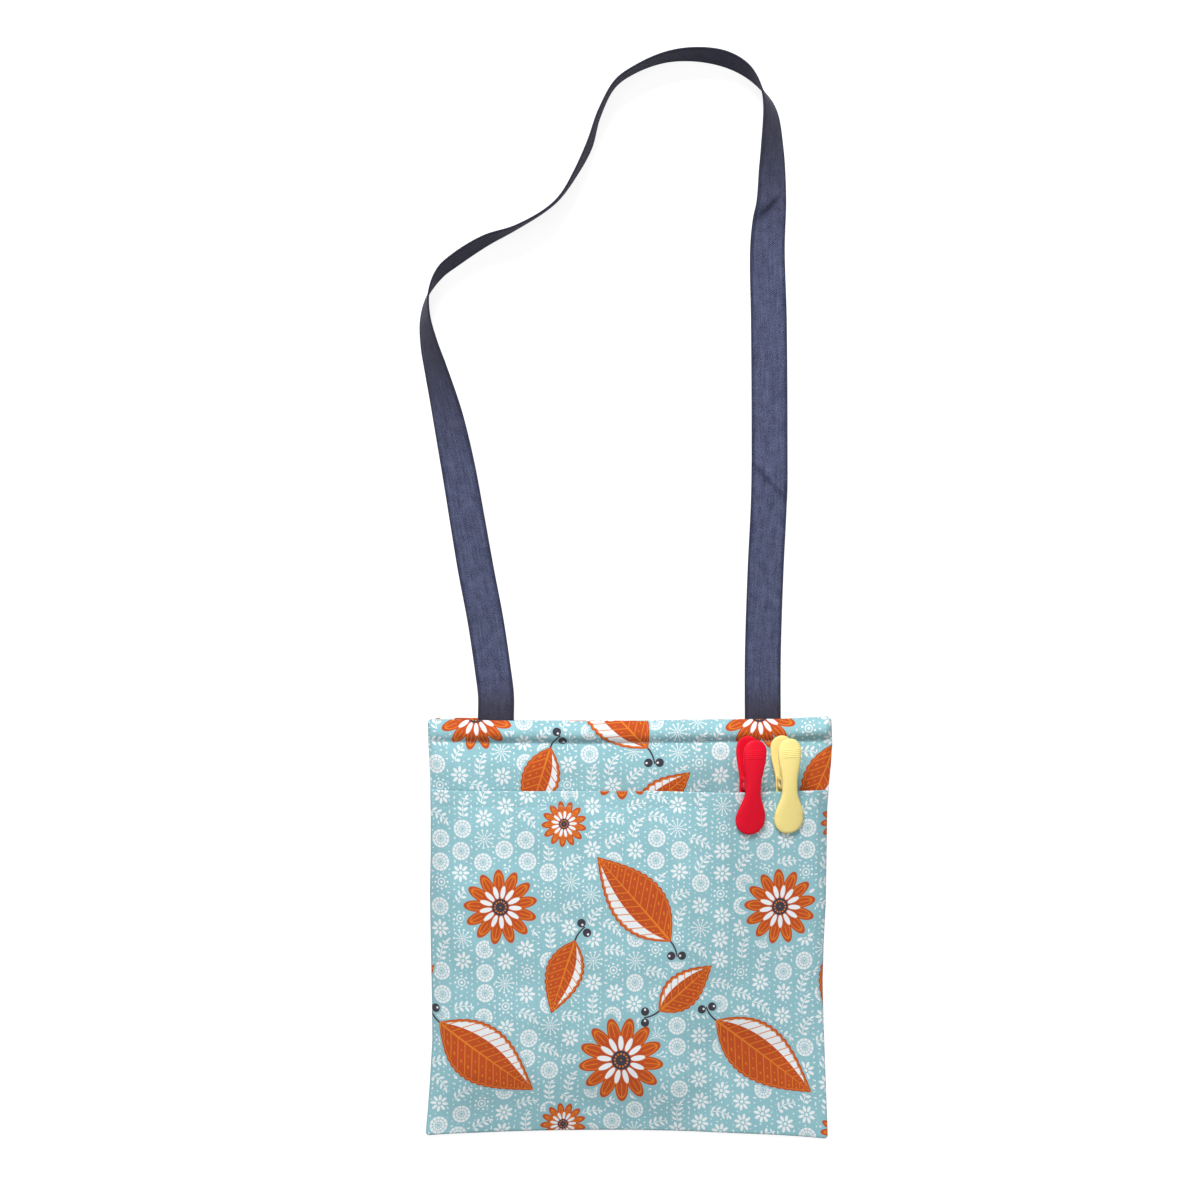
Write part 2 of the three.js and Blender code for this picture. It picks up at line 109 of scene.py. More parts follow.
class Drawn:
    """A number that a shader works out at each point of a surface. Signs and functions join such
    numbers, and plain ones, with Math nodes of the same tree."""

    def __init__(self, socket):
        self.socket = socket

    def join(self, operation, *others, clamp=False):
        """The result of one Math node on this number and the others."""
        node = add_node(self.socket.id_data, "ShaderNodeMath", self, *others)
        node.operation = operation
        node.use_clamp = clamp
        return Drawn(node.outputs[0])

    def __add__(self, other):
        return self.join("ADD", other)

    def __sub__(self, other):
        return self.join("SUBTRACT", other)

    def __mul__(self, other):
        return self.join("MULTIPLY", other)

    def __truediv__(self, other):
        return self.join("DIVIDE", other)

    def __abs__(self):
        return self.join("ABSOLUTE")

    def least(self, *others):
        found = self
        for other in others:
            found = found.join("MINIMUM", other)
        return found

    def most(self, *others):
        found = self
        for other in others:
            found = found.join("MAXIMUM", other)
        return found

    def span(self, other):
        """The long side of a right triangle whose short sides are self and other."""
        return (self * self + other * other).join("SQRT")

    def wrap(self, period):
        """The same place within one period, whose middle is 0."""
        return self.join("WRAP", period / 2, -period / 2)


def seen_light(tree):
    """1 for light that the camera gets from a surface, straight or through gloss and glass."""
    path = tree.nodes.new("ShaderNodeLightPath")
    seen = Drawn(path.outputs["Is Camera Ray"]).most(path.outputs["Is Glossy Ray"])
    return seen.most(path.outputs["Is Transmission Ray"])


def new_material(name):
    """A material with an empty tree, and its output node."""
    material = bpy.data.materials.new(name)
    material.use_nodes = True
    tree = material.node_tree
    tree.nodes.clear()
    return material, tree, tree.nodes.new("ShaderNodeOutputMaterial")


world = bpy.data.worlds.new("white_studio")
scene.world = world
world.use_nodes = True
sky = world.node_tree
sky.nodes.clear()
sky_light = add_node(sky, "ShaderNodeBackground", Color=(1, 1, 1, 1), Strength=0.2)
sky_seen = add_node(sky, "ShaderNodeBackground", Color=(1, 1, 1, 1), Strength=1.0)
sky_mix = add_node(sky, "ShaderNodeMixShader", seen_light(sky), sky_light.outputs[0], sky_seen.outputs[0])
add_node(sky, "ShaderNodeOutputWorld", Surface=sky_mix.outputs[0])


def add_mesh(name, points, faces, material):
    """A smooth mesh of one material, from points in millimetres."""
    mesh = bpy.data.meshes.new(name)
    metres = np.reshape(points, (-1, 3)) * 0.001
    mesh.from_pydata(metres.tolist(), [], [list(face) for face in faces])
    mesh.shade_smooth()
    mesh.materials.append(material)
    piece = bpy.data.objects.new(name, mesh)
    scene.collection.objects.link(piece)
    return piece


table_half, table_depth = 4000, 0.6
table_card, tree, output = new_material("white_table")
card = add_node(tree, "ShaderNodeBsdfDiffuse", Color=(0.3, 0.3, 0.3, 1))
glow = add_node(tree, "ShaderNodeEmission", Color=(1, 1, 1, 1), Strength=seen_light(tree) * 0.84)
lit_card = add_node(tree, "ShaderNodeAddShader", card.outputs[0], glow.outputs[0])
feed_all(output, Surface=lit_card.outputs[0])
table_signs = ((-1, -1), (1, -1), (1, 1), (-1, 1))
table_corners = [(x * table_half, y * table_half, -table_depth) for x, y in table_signs]
table = add_mesh("table", table_corners, [(0, 1, 2, 3)], table_card)


# Printed cotton
# All three panels are cut from one light plain-woven cotton with a print of leaves, blossoms and small
# fillers on a teal ground. Places on the cloth are in millimetres of the flat cut.

map_width = 420
print_repeat = np.array([236, 252, 1000])
weave_pitch = 0.45


def paint(red, green, blue):
    """A colour given as it shows on a screen, from 0 to 255, in the shader's own measure."""
    shown = np.array([red, green, blue]) / 255
    linear = np.where(shown <= 0.04045, shown / 12.92, ((shown + 0.055) / 1.055) ** 2.4)
    return (*linear, 1)


teal = paint(151, 197, 205)
deep_teal = paint(136, 185, 194)
off_white = paint(232, 236, 238)
burnt_orange = paint(186, 74, 24)
light_orange = paint(218, 122, 34)
ink_navy = paint(52, 50, 62)


def new_group(name, inputs, outputs):
    """A node group with the named sockets, and its input and output nodes."""
    group = bpy.data.node_groups.new(name, "ShaderNodeTree")
    for side, sockets in (("INPUT", inputs), ("OUTPUT", outputs)):
        for socket, kind in sockets.items():
            group.interface.new_socket(socket, in_out=side, socket_type=f"NodeSocket{kind}")
    return group, group.nodes.new("NodeGroupInput"), group.nodes.new("NodeGroupOutput")


def place_group(tree, group, **inputs):
    """A node that uses a group, with values or links on its named inputs."""
    node = tree.nodes.new("ShaderNodeGroup")
    node.node_tree = group
    return feed_all(node, **inputs)


def vector_node(tree, operation, *values):
    """The result of one Vector Math node on the values."""
    node = add_node(tree, "ShaderNodeVectorMath", *values)
    node.operation = operation
    return node.outputs[0]


def parts_of(tree, vector):
    """The x and y of a vector."""
    parts = add_node(tree, "ShaderNodeSeparateXYZ", Vector=vector)
    return Drawn(parts.outputs[0]), Drawn(parts.outputs[1])


def turned_about_z(tree, vector, angle):
    """The x and y of a vector that is turned about z."""
    turned = add_node(tree, "ShaderNodeVectorRotate", Vector=vector, Angle=angle)
    turned.rotation_type = "Z_AXIS"
    return parts_of(tree, turned.outputs[0])


def noise(tree, point, scale, detail):
    """Cloudy noise from 0 to 1, with scale clouds in each unit of point."""
    node = add_node(tree, "ShaderNodeTexNoise", Vector=point, Scale=scale, Detail=detail)
    return Drawn(node.outputs["Fac"])


def inked(distance, blur=0.25):
    """1 inside an outline and 0 outside it, from the distance to it in millimetres."""
    return distance.join("MULTIPLY_ADD", -1 / blur, 0.5, clamp=True)


def mix_colour(tree, cover, below, above, blend="MIX"):
    """One colour over another, where cover is 1, or blended with it in another way."""
    mix = tree.nodes.new("ShaderNodeMix")
    mix.data_type = "RGBA"
    mix.blend_type = blend
    feed(mix.inputs["Factor"], cover)
    feed(mix.inputs[6], below)
    feed(mix.inputs[7], above)
    return mix.outputs[2]


def inked_over(tree, colour, *layers):
    """Colours over each other, each inside its own outline."""
    for distance, above in layers:
        colour = mix_colour(tree, inked(distance), colour, above)
    return colour


def motif_place(tree, given):
    """x and y in a motif's own frame, from its nearest repeat over the cloth."""
    apart = vector_node(tree, "SUBTRACT", given.outputs["Point"], given.outputs["Centre"])
    near = vector_node(tree, "WRAP", apart, tuple(print_repeat / 2), tuple(-print_repeat / 2))
    return turned_about_z(tree, near, given.outputs["Turn"])


def ellipse(x, y, long, short):
    """Distance to an ellipse about the origin, nearly, in the measure of its short half axis."""
    return ((x / long).span(y / short) - 1) * short


def in_sector(out, angle, count):
    """x and y within the nearest of count equal sectors round the middle, with x along the sector."""
    turned = angle.wrap(2 * np.pi / count)
    return out * turned.join("COSINE"), out * turned.join("SINE")


motif_inputs = {"Point": "Vector", "Centre": "Vector", "Turn": "Float", "Size": "Float"}
motif_outputs = {"Colour": "Color", "Cover": "Float", "Distance": "Float"}


def leaf_motif(vein_pitch=7.5):
    """A toothed leaf along x, Size long from its middle to its tip. Its half width is 0.46 Size times
    1 - t^2 times 1 - 0.3 t at the share t of Size. Its veins lean forward from the midrib with rows of
    dots between them, one half has a pale strip, and its stalk bears two berries."""
    tree, given, made = new_group("leaf_motif", motif_inputs, motif_outputs)
    x, y = motif_place(tree, given)
    size = Drawn(given.outputs["Size"])
    side = abs(y)
    share = x / size
    full = (share * share).join("MULTIPLY_ADD", -1, 1)
    half = size * 0.46 * full * share.join("MULTIPLY_ADD", -0.3, 1)
    teeth = abs((x * 0.55).join("SINE")) * 1.3 * full
    blade = (side - half - teeth).most(abs(x) - size)

    slanted = x - side * 0.75
    veins = abs(slanted.wrap(vein_pitch)) - 0.45
    midrib = side - share.join("MULTIPLY_ADD", -0.35, 0.6)
    between = (slanted + vein_pitch / 2).wrap(vein_pitch)
    rows = between.span(side - half * 0.62) - 0.95
    inner_rows = between.span(side - half * 0.32) - 0.6
    border = abs(blade + 1.9) - 0.35
    inside = blade + 3
    lines = veins.most(inside).least(midrib.most(inside), border, rows, inner_rows)

    past = x + size
    stalk = (abs(y - past * past * 0.025) - 0.75).most(abs(past + 5) - 8)
    berries = (past + 9).span(y - 7.5).least((past + 15).span(y - 0.5)) - 3.6
    shine = (past + 8).span(y - 8.7).least((past + 14).span(y - 1.7)) - 0.9

    pale_side = (half * 0.5 - side).most(blade + 2.8, y * -1, veins * -1)
    dark = stalk.most(blade * -1).least(berries)
    layers = (lines, light_orange), (pale_side, off_white), (dark, ink_navy), (shine, off_white)
    colour = inked_over(tree, burnt_orange, *layers)
    whole = blade.least(stalk, berries)
    feed_all(made, Colour=colour, Cover=inked(whole), Distance=whole)
    return tree


def blossom_motif(petals=13):
    """A round blossom of radius Size: a ring of orange petals, a ring of white ones between them and a
    dark middle with dots. Each ring is one ellipse that is repeated around the middle."""
    tree, given, made = new_group("blossom_motif", motif_inputs, motif_outputs)
    x, y = motif_place(tree, given)
    size = Drawn(given.outputs["Size"])
    out = x.span(y)
    angle = y.join("ARCTAN2", x)

    along, across = in_sector(out, angle, petals)
    petal = ellipse(along - size * 0.64, across, size * 0.36, size * 0.155)
    blossom = petal.least(out - size * 0.5)
    rib = (abs(across) - 0.35).most(abs(along - size * 0.72) - size * 0.17)
    border = abs(petal + 1.5) - 0.32
    dots = (along - size * 0.88).span(across) - size * 0.018
    lines = rib.least(border.most(size * 0.42 - out), dots)

    along, across = in_sector(out, angle + np.pi / petals, petals)
    white = ellipse(along - size * 0.4, across, size * 0.17, size * 0.062)
    heart = out - size * 0.225
    beads = (along - size * 0.15).span(across).least(out + size * 0.004) - size * 0.022

    layers = (lines, light_orange), (white, off_white), (heart, ink_navy), (beads, light_orange)
    colour = inked_over(tree, burnt_orange, *layers)
    feed_all(made, Colour=colour, Cover=inked(blossom), Distance=blossom)
    return tree


def scattered(tree, point, pitch, stray=0.12):
    """A half-drop lattice of cells over the cloth: x and y from the middle of the cell, moved and turned
    by chance, and two numbers by chance that are the same all over the cell."""
    x, y = parts_of(tree, point)
    x = x / pitch
    column = x.join("FLOOR")
    y = y / pitch + column.join("FLOORED_MODULO", 2) * 0.5
    row = y.join("FLOOR")
    cell = add_node(tree, "ShaderNodeCombineXYZ", X=column, Y=row)
    chance = add_node(tree, "ShaderNodeTexWhiteNoise", Vector=cell.outputs[0])
    hue = add_node(tree, "ShaderNodeSeparateColor", Color=chance.outputs["Color"])
    turn, shift, size = (Drawn(socket) for socket in hue.outputs)
    x = (x - column - 0.5 + (shift - 0.5) * stray) * pitch
    y = (y - row - 0.5 + (size - 0.5) * stray) * pitch
    middle = add_node(tree, "ShaderNodeCombineXYZ", X=x, Y=y)
    x, y = turned_about_z(tree, middle.outputs[0], turn * 2 * np.pi)
    return x, y, Drawn(chance.outputs["Value"]), size


def filler_motifs(motif_pitch=18.2, dash_pitch=4.7):
    """Small off-white motifs. Each cell of a lattice holds a sprig, a daisy, a pompom, a seed head or a
    ring of dots by chance, and a finer lattice of dashes fills what they leave."""
    tree, given, made = new_group("filler_motifs", {"Point": "Vector"}, {"Distance": "Float"})
    point = given.outputs["Point"]
    x, y, chance, _ = scattered(tree, point, motif_pitch)
    out = x.span(y)
    angle = y.join("ARCTAN2", x)

    along, across = in_sector(out, angle, 8)
    daisy = ellipse(along - 4.9, across, 2.6, 1.25).least(out - 1.35)
    rings = ((along - 5.4).span(across) - 0.95).least(abs(out - 2.9) - 0.4, out - 1.1)
    along, across = in_sector(out, angle, 11)
    spokes = (abs(across) - 0.32).most(abs(along - 4.3) - 2.7)
    seed_head = spokes.least((along - 7.3).span(across) - 0.85, out - 0.9)
    along, across = in_sector(out, angle, 12)
    pompom = (out - 7.7).most(abs(out.wrap(2.56)) * -1 + 0.26, abs(across) * -1 + 0.22)

    bowed = x - y * y * 0.03
    stem = (abs(bowed) - 0.36).most(abs(y) - 8.2)
    step = (y + 1.6).wrap(4.7)
    slant = abs(bowed) - 2.5
    leaflet = ellipse(slant * 0.79 + step * 0.61, step * 0.79 - slant * 0.61, 2.3, 1.05)
    tip = ellipse(bowed, y - 8.6, 1.0, 0.9).least(ellipse(y - 9, bowed, 2.0, 1.0))
    sprig = stem.least(leaflet.most(abs(y) - 7.4), tip)

    def kept(motif, low, high):
        """The motif in cells whose chance is between low and high, and nothing in the others."""
        return motif + abs(chance - (low + high) / 2).join("GREATER_THAN", (high - low) / 2) * 50

    coarse = kept(sprig, 0.0, 0.38).least(kept(daisy, 0.38, 0.58), kept(pompom, 0.58, 0.78))
    coarse = coarse.least(kept(seed_head, 0.78, 0.9), kept(rings, 0.9, 1.0))

    x, y, _, half_length = scattered(tree, point, dash_pitch)
    dash = (abs(y) - half_length).most(0).span(x) - 0.55
    fine = dash.most(coarse * -1 + 1.5)
    feed_all(made, Distance=coarse.least(fine))
    return tree


def print_design():
    """Colour of the print at a place on the cloth: the large motifs at their places in the repeat,
    over the fillers, which keep clear of them, over the ground."""
    tree, given, made = new_group("print_design", {"Point": "Vector"}, {"Colour": "Color"})
    point = given.outputs["Point"]
    fillers = place_group(tree, filler_motifs(), Point=point)
    leaf, blossom = leaf_motif(), blossom_motif()
    large = [
        (leaf, (47, 66), 0.62, 50),
        (leaf, (172, 196), -2.3, 47),
        (leaf, (112, 132), 1.9, 32),
        (leaf, (216, 122), -0.7, 30),
        (blossom, (161, 62), 0.1, 36),
        (blossom, (60, 190), 0.3, 31),
        (blossom, (113, 6), 0.2, 19),
    ]
    placed = [
        place_group(tree, group, Point=point, Centre=(*centre, 0), Turn=turn, Size=size)
        for group, centre, turn, size in large
    ]
    nearest = Drawn(placed[0].outputs["Distance"]).least(*(node.outputs["Distance"] for node in placed[1:]))
    colour = mix_colour(tree, noise(tree, point, scale=0.03, detail=2), teal, deep_teal)
    spare = Drawn(fillers.outputs["Distance"]).most(nearest * -1 + 1.8)
    colour = inked_over(tree, colour, (spare, off_white))
    for node in placed:
        colour = mix_colour(tree, node.outputs["Cover"], colour, node.outputs["Colour"])
    feed_all(made, Colour=colour)
    return tree


def plain_weave():
    """Threads over and under each other: each cell of a chequered lattice shows half a wave of a warp
    or a weft thread, and slow noise makes some threads thicker."""
    tree, given, made = new_group("plain_weave", {"Point": "Vector", "Pitch": "Float"}, {"Height": "Float"})
    point = given.outputs["Point"]
    x, y = parts_of(tree, point)
    pitch = Drawn(given.outputs["Pitch"])
    warp, weft = x / pitch, y / pitch
    chequer = (warp.join("FLOOR") + weft.join("FLOOR")).join("FLOORED_MODULO", 2)
    over = abs((warp * np.pi).join("SINE")) * chequer
    under = abs((weft * np.pi).join("SINE")) * (chequer * -1 + 1)
    feed_all(made, Height=(over + under) * (noise(tree, point, scale=0.7, detail=3) + 0.4))
    return tree


print_group = print_design()
weave_group = plain_weave()


def mapped(tree, name, scale, shift=(0, 0)):
    """Place on a piece's own flat map, scaled and then shifted."""
    flat = tree.nodes.new("ShaderNodeUVMap")
    flat.uv_map = name
    place = add_node(
        tree, "ShaderNodeMapping", Vector=flat.outputs[0], Location=(*shift, 0), Scale=(scale, scale, 1)
    )
    return place.outputs[0]


def bumped(tree, height, strength, distance):
    """Normals of a surface that is raised by height times distance, in metres."""
    bump = add_node(tree, "ShaderNodeBump", Height=height, Strength=strength, Distance=distance)
    return bump.outputs[0]


def finish_material(output, **inputs):
    """Ends a material in one Principled shader with these inputs."""
    shader = add_node(output.id_data, "ShaderNodeBsdfPrincipled", **inputs)
    feed_all(output, Surface=shader.outputs[0])


def printed_cotton(name, shift):
    """The cloth of one panel, whose cut starts at shift on the printed roll."""
    material, tree, output = new_material(name)
    point = mapped(tree, "OFBake", map_width, shift)
    printed = place_group(tree, print_group, Point=point)
    weave = place_group(tree, weave_group, Point=point, Pitch=weave_pitch)
    height = Drawn(weave.outputs["Height"])
    # The colour is painted lighter on the raised threads and darker between them, as painted shade.
    threads = height.join("MULTIPLY_ADD", 0.16, 0.9)
    shade = add_node(tree, "ShaderNodeCombineColor", Red=threads, Green=threads, Blue=threads)
    finish_material(
        output, Base_Color=mix_colour(tree, 1, printed.outputs["Colour"], shade.outputs[0], "MULTIPLY"),
        Normal=bumped(tree, height, strength=0.35, distance=0.00012), Sheen_Weight=0.12,
        Roughness=height.join("MULTIPLY_ADD", -0.15, 0.92), Specular_IOR_Level=0.3,
    )
    return material


# Back panel
# One piece of cotton that lies flat on the table. Its mouth is turned in to a hem 18 mm deep, and its
# sides and bottom are sewn to the other panels and turned, so the edges are round.

bag_width, bag_height = 336, 345
half_bag, top_y = bag_width / 2, bag_height / 2
cloth_thickness = 0.5
solid_cloth, clearance = 0.8, 0.3
layer = solid_cloth + clearance
hem_depth, hem_run = 18, 8
fold_radius = layer / 2
corner_radius = 3
bottom_bow = 4.5
mouth_band, bottom_band = 60, 70
back_lie, back_seam, bottom_lift = 0.3, 0.95, 0.4
back_slack_run = 30
peek = 1.3
grid_step = 2.2
seam_band = 5.5
seam_steps = np.array([0, 0.15, 0.4, 0.8, 1.3, 1.9, 2.7, 3.9])


def softly(low, high, value):
    """0 before low and 1 after high, with a smooth step between them. Where low is the greater, it falls
    from 1 to 0 instead."""
    share = np.clip((value - low) / (high - low), 0, 1)
    return share * share * (3 - 2 * share)


def swell(distance, run):
    """Rises from 0 at a seam to 1 at the end of the run, steeply first, as a parabola."""
    share = np.clip(distance / run, 0, 1)
    return share * (2 - share)


def bottom_y(across):
    """Height of the bottom seam, which bows up by a parabola towards its middle."""
    return bottom_bow * (1 - (across / half_bag) ** 2) - top_y


def from_side(across):
    """Distance to the nearer side seam."""
    return half_bag - np.abs(across)


def from_bottom(across, y):
    """Distance to the bottom seam."""
    return y - bottom_y(across)


def at_bottom(y):
    """1 along the bottom and 0 from 12 mm above it."""
    return softly(-top_y + 12, -top_y + 4, y)


def slackness(across, y, run=26):
    """How free the cloth is to lie unevenly: not at all at the seams, and fully at a run from them."""
    return swell(from_side(across), run) * swell(from_bottom(across, y), run)


# Each seam's distance from the middle at heights on the bag, and how far its mouth and bottom stray at
# places across it.
left_seam = [(-172, 169.4), (-150, 167.4), (-127, 165.7), (-94, 163.8), (-60, 164.1), (-30, 164.7)]
left_seam += [(0, 165.3), (30, 165.7), (60, 165.2), (90, 165.1), (122, 165.6), (150, 167), (172, 167.5)]
right_seam = [(-172, 165), (-150, 164.2), (-110, 162.6), (-77, 161.4), (-44, 160.7), (-10, 161.7)]
right_seam += [(22, 163.4), (60, 164), (100, 164.6), (122, 166.3), (135, 167.8), (150, 168.8), (172, 167.9)]
mouth_rise = [(-168, 0.6), (-130, 0.3), (-85, -0.5), (0, -0.7)]
mouth_rise += [(60, 0.3), (130, 1.1), (155, 2.2), (168, 3.2)]
bottom_sag = [(-168, 0.2), (-80, 0), (0, 0.3), (50, 0.9), (80, 1.7), (130, 2.1), (168, 3)]


def knots(pairs, place):
    """A value on the straight lines between the measured places of an edge."""
    at, value = np.array(pairs).T
    return np.interp(place, at, value)


def sewn_outline(across, y):
    """x and y of a place on a panel, whose seams and mouth aren't quite straight: across is a share of
    the distance to the left or right seam at that height, and the corners are quarter circles."""
    seam = np.where(across < 0, knots(left_seam, y), knots(right_seam, y))
    rise = knots(mouth_rise, across) * softly(top_y - mouth_band, top_y, y)
    sag = knots(bottom_sag, across) * softly(-top_y + bottom_band, -top_y, y)
    from_end = np.minimum(from_bottom(across, y), top_y - y)
    into_corner = np.clip(corner_radius - from_end, 0, corner_radius)
    round_off = corner_radius - np.sqrt(corner_radius**2 - into_corner**2)
    share = across / half_bag
    beside_seam = share**20
    return share * (seam - round_off * beside_seam), y + rise - sag


def cloth_columns():
    """Places across a panel, closer together at its two seams."""
    reach = half_bag - seam_band
    middle = np.linspace(-reach, reach, int(2 * reach / grid_step))
    return np.concatenate([seam_steps - half_bag, middle, half_bag - seam_steps[::-1]])


def hemmed_rows(across, mouth, depth):
    """Heights up a panel from its bottom seam, over the fold of its mouth and down inside the hem, and
    how far each row is turned in: 0 on the outside and 1 inside the hem."""
    bottom = bottom_y(across)
    hem_start = mouth - depth
    share = np.linspace(0, 1, int((hem_start - hem_run + top_y) / grid_step))[:, None]
    sheet = (bottom + seam_band) * (1 - share) + (hem_start - hem_run) * share
    hem = np.arange(hem_start - hem_run + 1, mouth - fold_radius, 1)
    angle = np.linspace(0, np.pi, 9)[1:-1]
    inside = np.linspace(mouth - fold_radius, hem_start + 1, int(depth / grid_step))
    over = mouth - fold_radius * (1 - np.sin(angle))
    level = np.concatenate([hem, over, inside])[:, None]
    y = np.concatenate([bottom + seam_steps[:, None], sheet, level + 0 * across])
    outside = np.zeros(len(seam_steps) + len(sheet) + len(hem))
    turned = np.concatenate([outside, (1 - np.cos(angle)) / 2, np.ones(len(inside))])
    return y, turned[:, None]


def rolled(z, seam_z, across, y, run=1.9):
    """Heights of a panel, which come to its seam's height along the turned edge by a quarter circle."""
    from_edge = np.minimum(from_side(across), from_bottom(across, y))
    share = np.clip(from_edge / run, 0, 1)
    return seam_z + (z - seam_z) * np.sqrt(1 - (1 - share) ** 2)


def unit(vectors):
    """Vectors of the same headings and of length 1."""
    return vectors / np.linalg.norm(vectors, axis=-1, keepdims=True)


def round_angles(count):
    """Angles of count equal steps round a circle."""
    return np.linspace(0, 2 * np.pi, count, endpoint=False)


def run_along(points):
    """Length of the way from the first of a row of points to each of them."""
    return np.concatenate([[0], np.cumsum(np.linalg.norm(np.diff(points, axis=0), axis=1))])


def grid_faces(rows, columns, around=False):
    """Quads between the neighbours of a grid, where around joins the last column to the first."""
    index = np.arange(rows * columns).reshape(rows, columns)
    right = np.roll(index, -1, axis=1)
    if not around:
        index, right = index[:, :-1], right[:, :-1]
    return np.stack([index[:-1], right[:-1], right[1:], index[1:]], axis=-1).reshape(-1, 4)


def put_map(mesh, name, flat):
    """Gives a mesh a map, from the flat place of each of its points."""
    corners = np.empty(len(mesh.loops), np.int32)
    mesh.loops.foreach_get("vertex_index", corners)
    places = np.reshape(flat, (-1, 2))[corners]
    mesh.uv_layers.new(name=name).uv.foreach_set("vector", places.astype(np.float32).ravel())


def cloth_piece(name, across, x, y, z, material):
    """A sheet over a grid, with the flat cut as its map: across one way, and the length of cloth from
    the bottom seam up the middle the other way. Solidify gives it its thickness."""
    points = np.stack([x, y, z], axis=-1)
    middle = points[:, points.shape[1] // 2]
    wide, long = np.meshgrid(across + half_bag, run_along(middle))
    piece = add_mesh(name, points, grid_faces(*points.shape[:2]), material)
    put_map(piece.data, "OFBake", np.stack([wide, long], axis=-1) / map_width)
    shell = piece.modifiers.new("thickness", "SOLIDIFY")
    shell.thickness = cloth_thickness * 0.001
    shell.offset = 0
    return piece


def waves(across, y, seed, shortest=45, longest=110, count=7):
    """Slack in the cloth: the mean of plane waves of lengths, headings and phases by chance."""
    chance = np.random.default_rng(seed)
    total = 0
    for _ in range(count):
        length, heading = chance.uniform(shortest, longest), chance.uniform(0, np.pi)
        phase = chance.uniform(0, 2 * np.pi)
        ahead = across * np.cos(heading) + y * np.sin(heading)
        total = total + np.sin(2 * np.pi * ahead / length + phase)
    return total / count


stitch_length, stitch_pitch, thread_radius = 2.5, 3.1, 0.2
stitch_rise, stitch_dip = 0.28, 0.1
thread_cotton, tree, output = new_material("sewing_thread")
place = tree.nodes.new("ShaderNodeTexCoord")
fuzz = noise(tree, place.outputs["Object"], scale=3500, detail=3)
finish_material(
    output, Base_Color=mix_colour(tree, fuzz, paint(104, 158, 171), paint(172, 212, 219)),
    Normal=bumped(tree, fuzz, strength=0.5, distance=0.0001), Roughness=0.8,
)


def stitch_row(name, row, out, sides=6):
    """Stitches along a row of points on the face of a panel. Each is a thread that comes up through the
    cloth, lies along it and goes down again, by half a sine wave."""
    run = run_along(row)
    first = np.arange(stitch_pitch / 2, run[-1] - stitch_pitch, stitch_pitch)
    share = np.array([0, 0.16, 0.5, 0.84, 1])
    taper = np.array([0.7, 1, 1, 1, 0.7])[:, None, None]
    place = first[:, None] + stitch_length * share
    centre = np.stack([np.interp(place, run, column) for column in row.T], axis=-1)
    centre = centre + out * (stitch_rise * np.sin(np.pi * share) - stitch_dip)[:, None]
    beside = np.cross(unit(centre[:, -1:] - centre[:, :1]), out)[:, :, None]
    angle = round_angles(sides)[:, None]
    points = centre[:, :, None] + thread_radius * taper * (beside * np.cos(angle) + out * np.sin(angle))
    count = len(share) * sides
    ends = [list(range(sides)), list(range(count - 1, count - sides - 1, -1))]
    one = grid_faces(len(share), sides, True)[:, ::-1].tolist() + ends
    faces = [[corner + count * stitch for corner in face] for stitch in range(len(first)) for face in one]
    piece = add_mesh(name, points, faces, thread_cotton)
    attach(piece, "bag")
    return piece


def row_near(y, turned, level):
    """Which row of a panel's outside is nearest to a height."""
    return int(np.argmin(np.abs(y[:, 0] - level) + 1000 * turned[:, 0]))


across = cloth_columns()
y, turned = hemmed_rows(across, top_y, hem_depth)
outer = rolled(back_lie, back_seam + bottom_lift * at_bottom(y), across, y)
slack = slackness(across, y, back_slack_run) * softly(top_y - 24, top_y - 45, y)
outer = outer + slack * (0.5 + 0.5 * waves(across, y, 5))
x, up = sewn_outline(across, y)
# Its mouth stands a little higher than the front panel's at the left.
up = up + peek * softly(-168, -158, across) * softly(-112, -128, across) * softly(top_y - 10, top_y, y)
z = outer + layer * turned
back_cloth = cloth_piece("back_cloth", across, x, up, z, printed_cotton("back_cotton", (150, 90)))
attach(back_cloth, "bag")
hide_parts("back_panel")
seamed = slice(len(seam_steps), -len(seam_steps))
hem_row = row_near(y, turned, top_y - hem_depth + 1)
face = np.stack([x, up, outer - cloth_thickness / 2], axis=-1)
back_stitches = stitch_row("back_hem_stitches", face[hem_row, seamed], np.array([0, 0, -1]))


# Strap
# One length of 30 mm herringbone webbing. Its two ends are sewn inside the back panel's hem, and from
# there it lies flat on the table and then stands on its outer edge through the loop.

strap_width, strap_thickness = 30, 1.6
selvedge_width, thin_middle = 3, 0.9
strap_tail, strap_foot = 25, 111
end_height, drop_run = 2.2, 40
fold_y = top_y + 1.5
tail_rows, route_steps, ring_count = 12, 10, 900
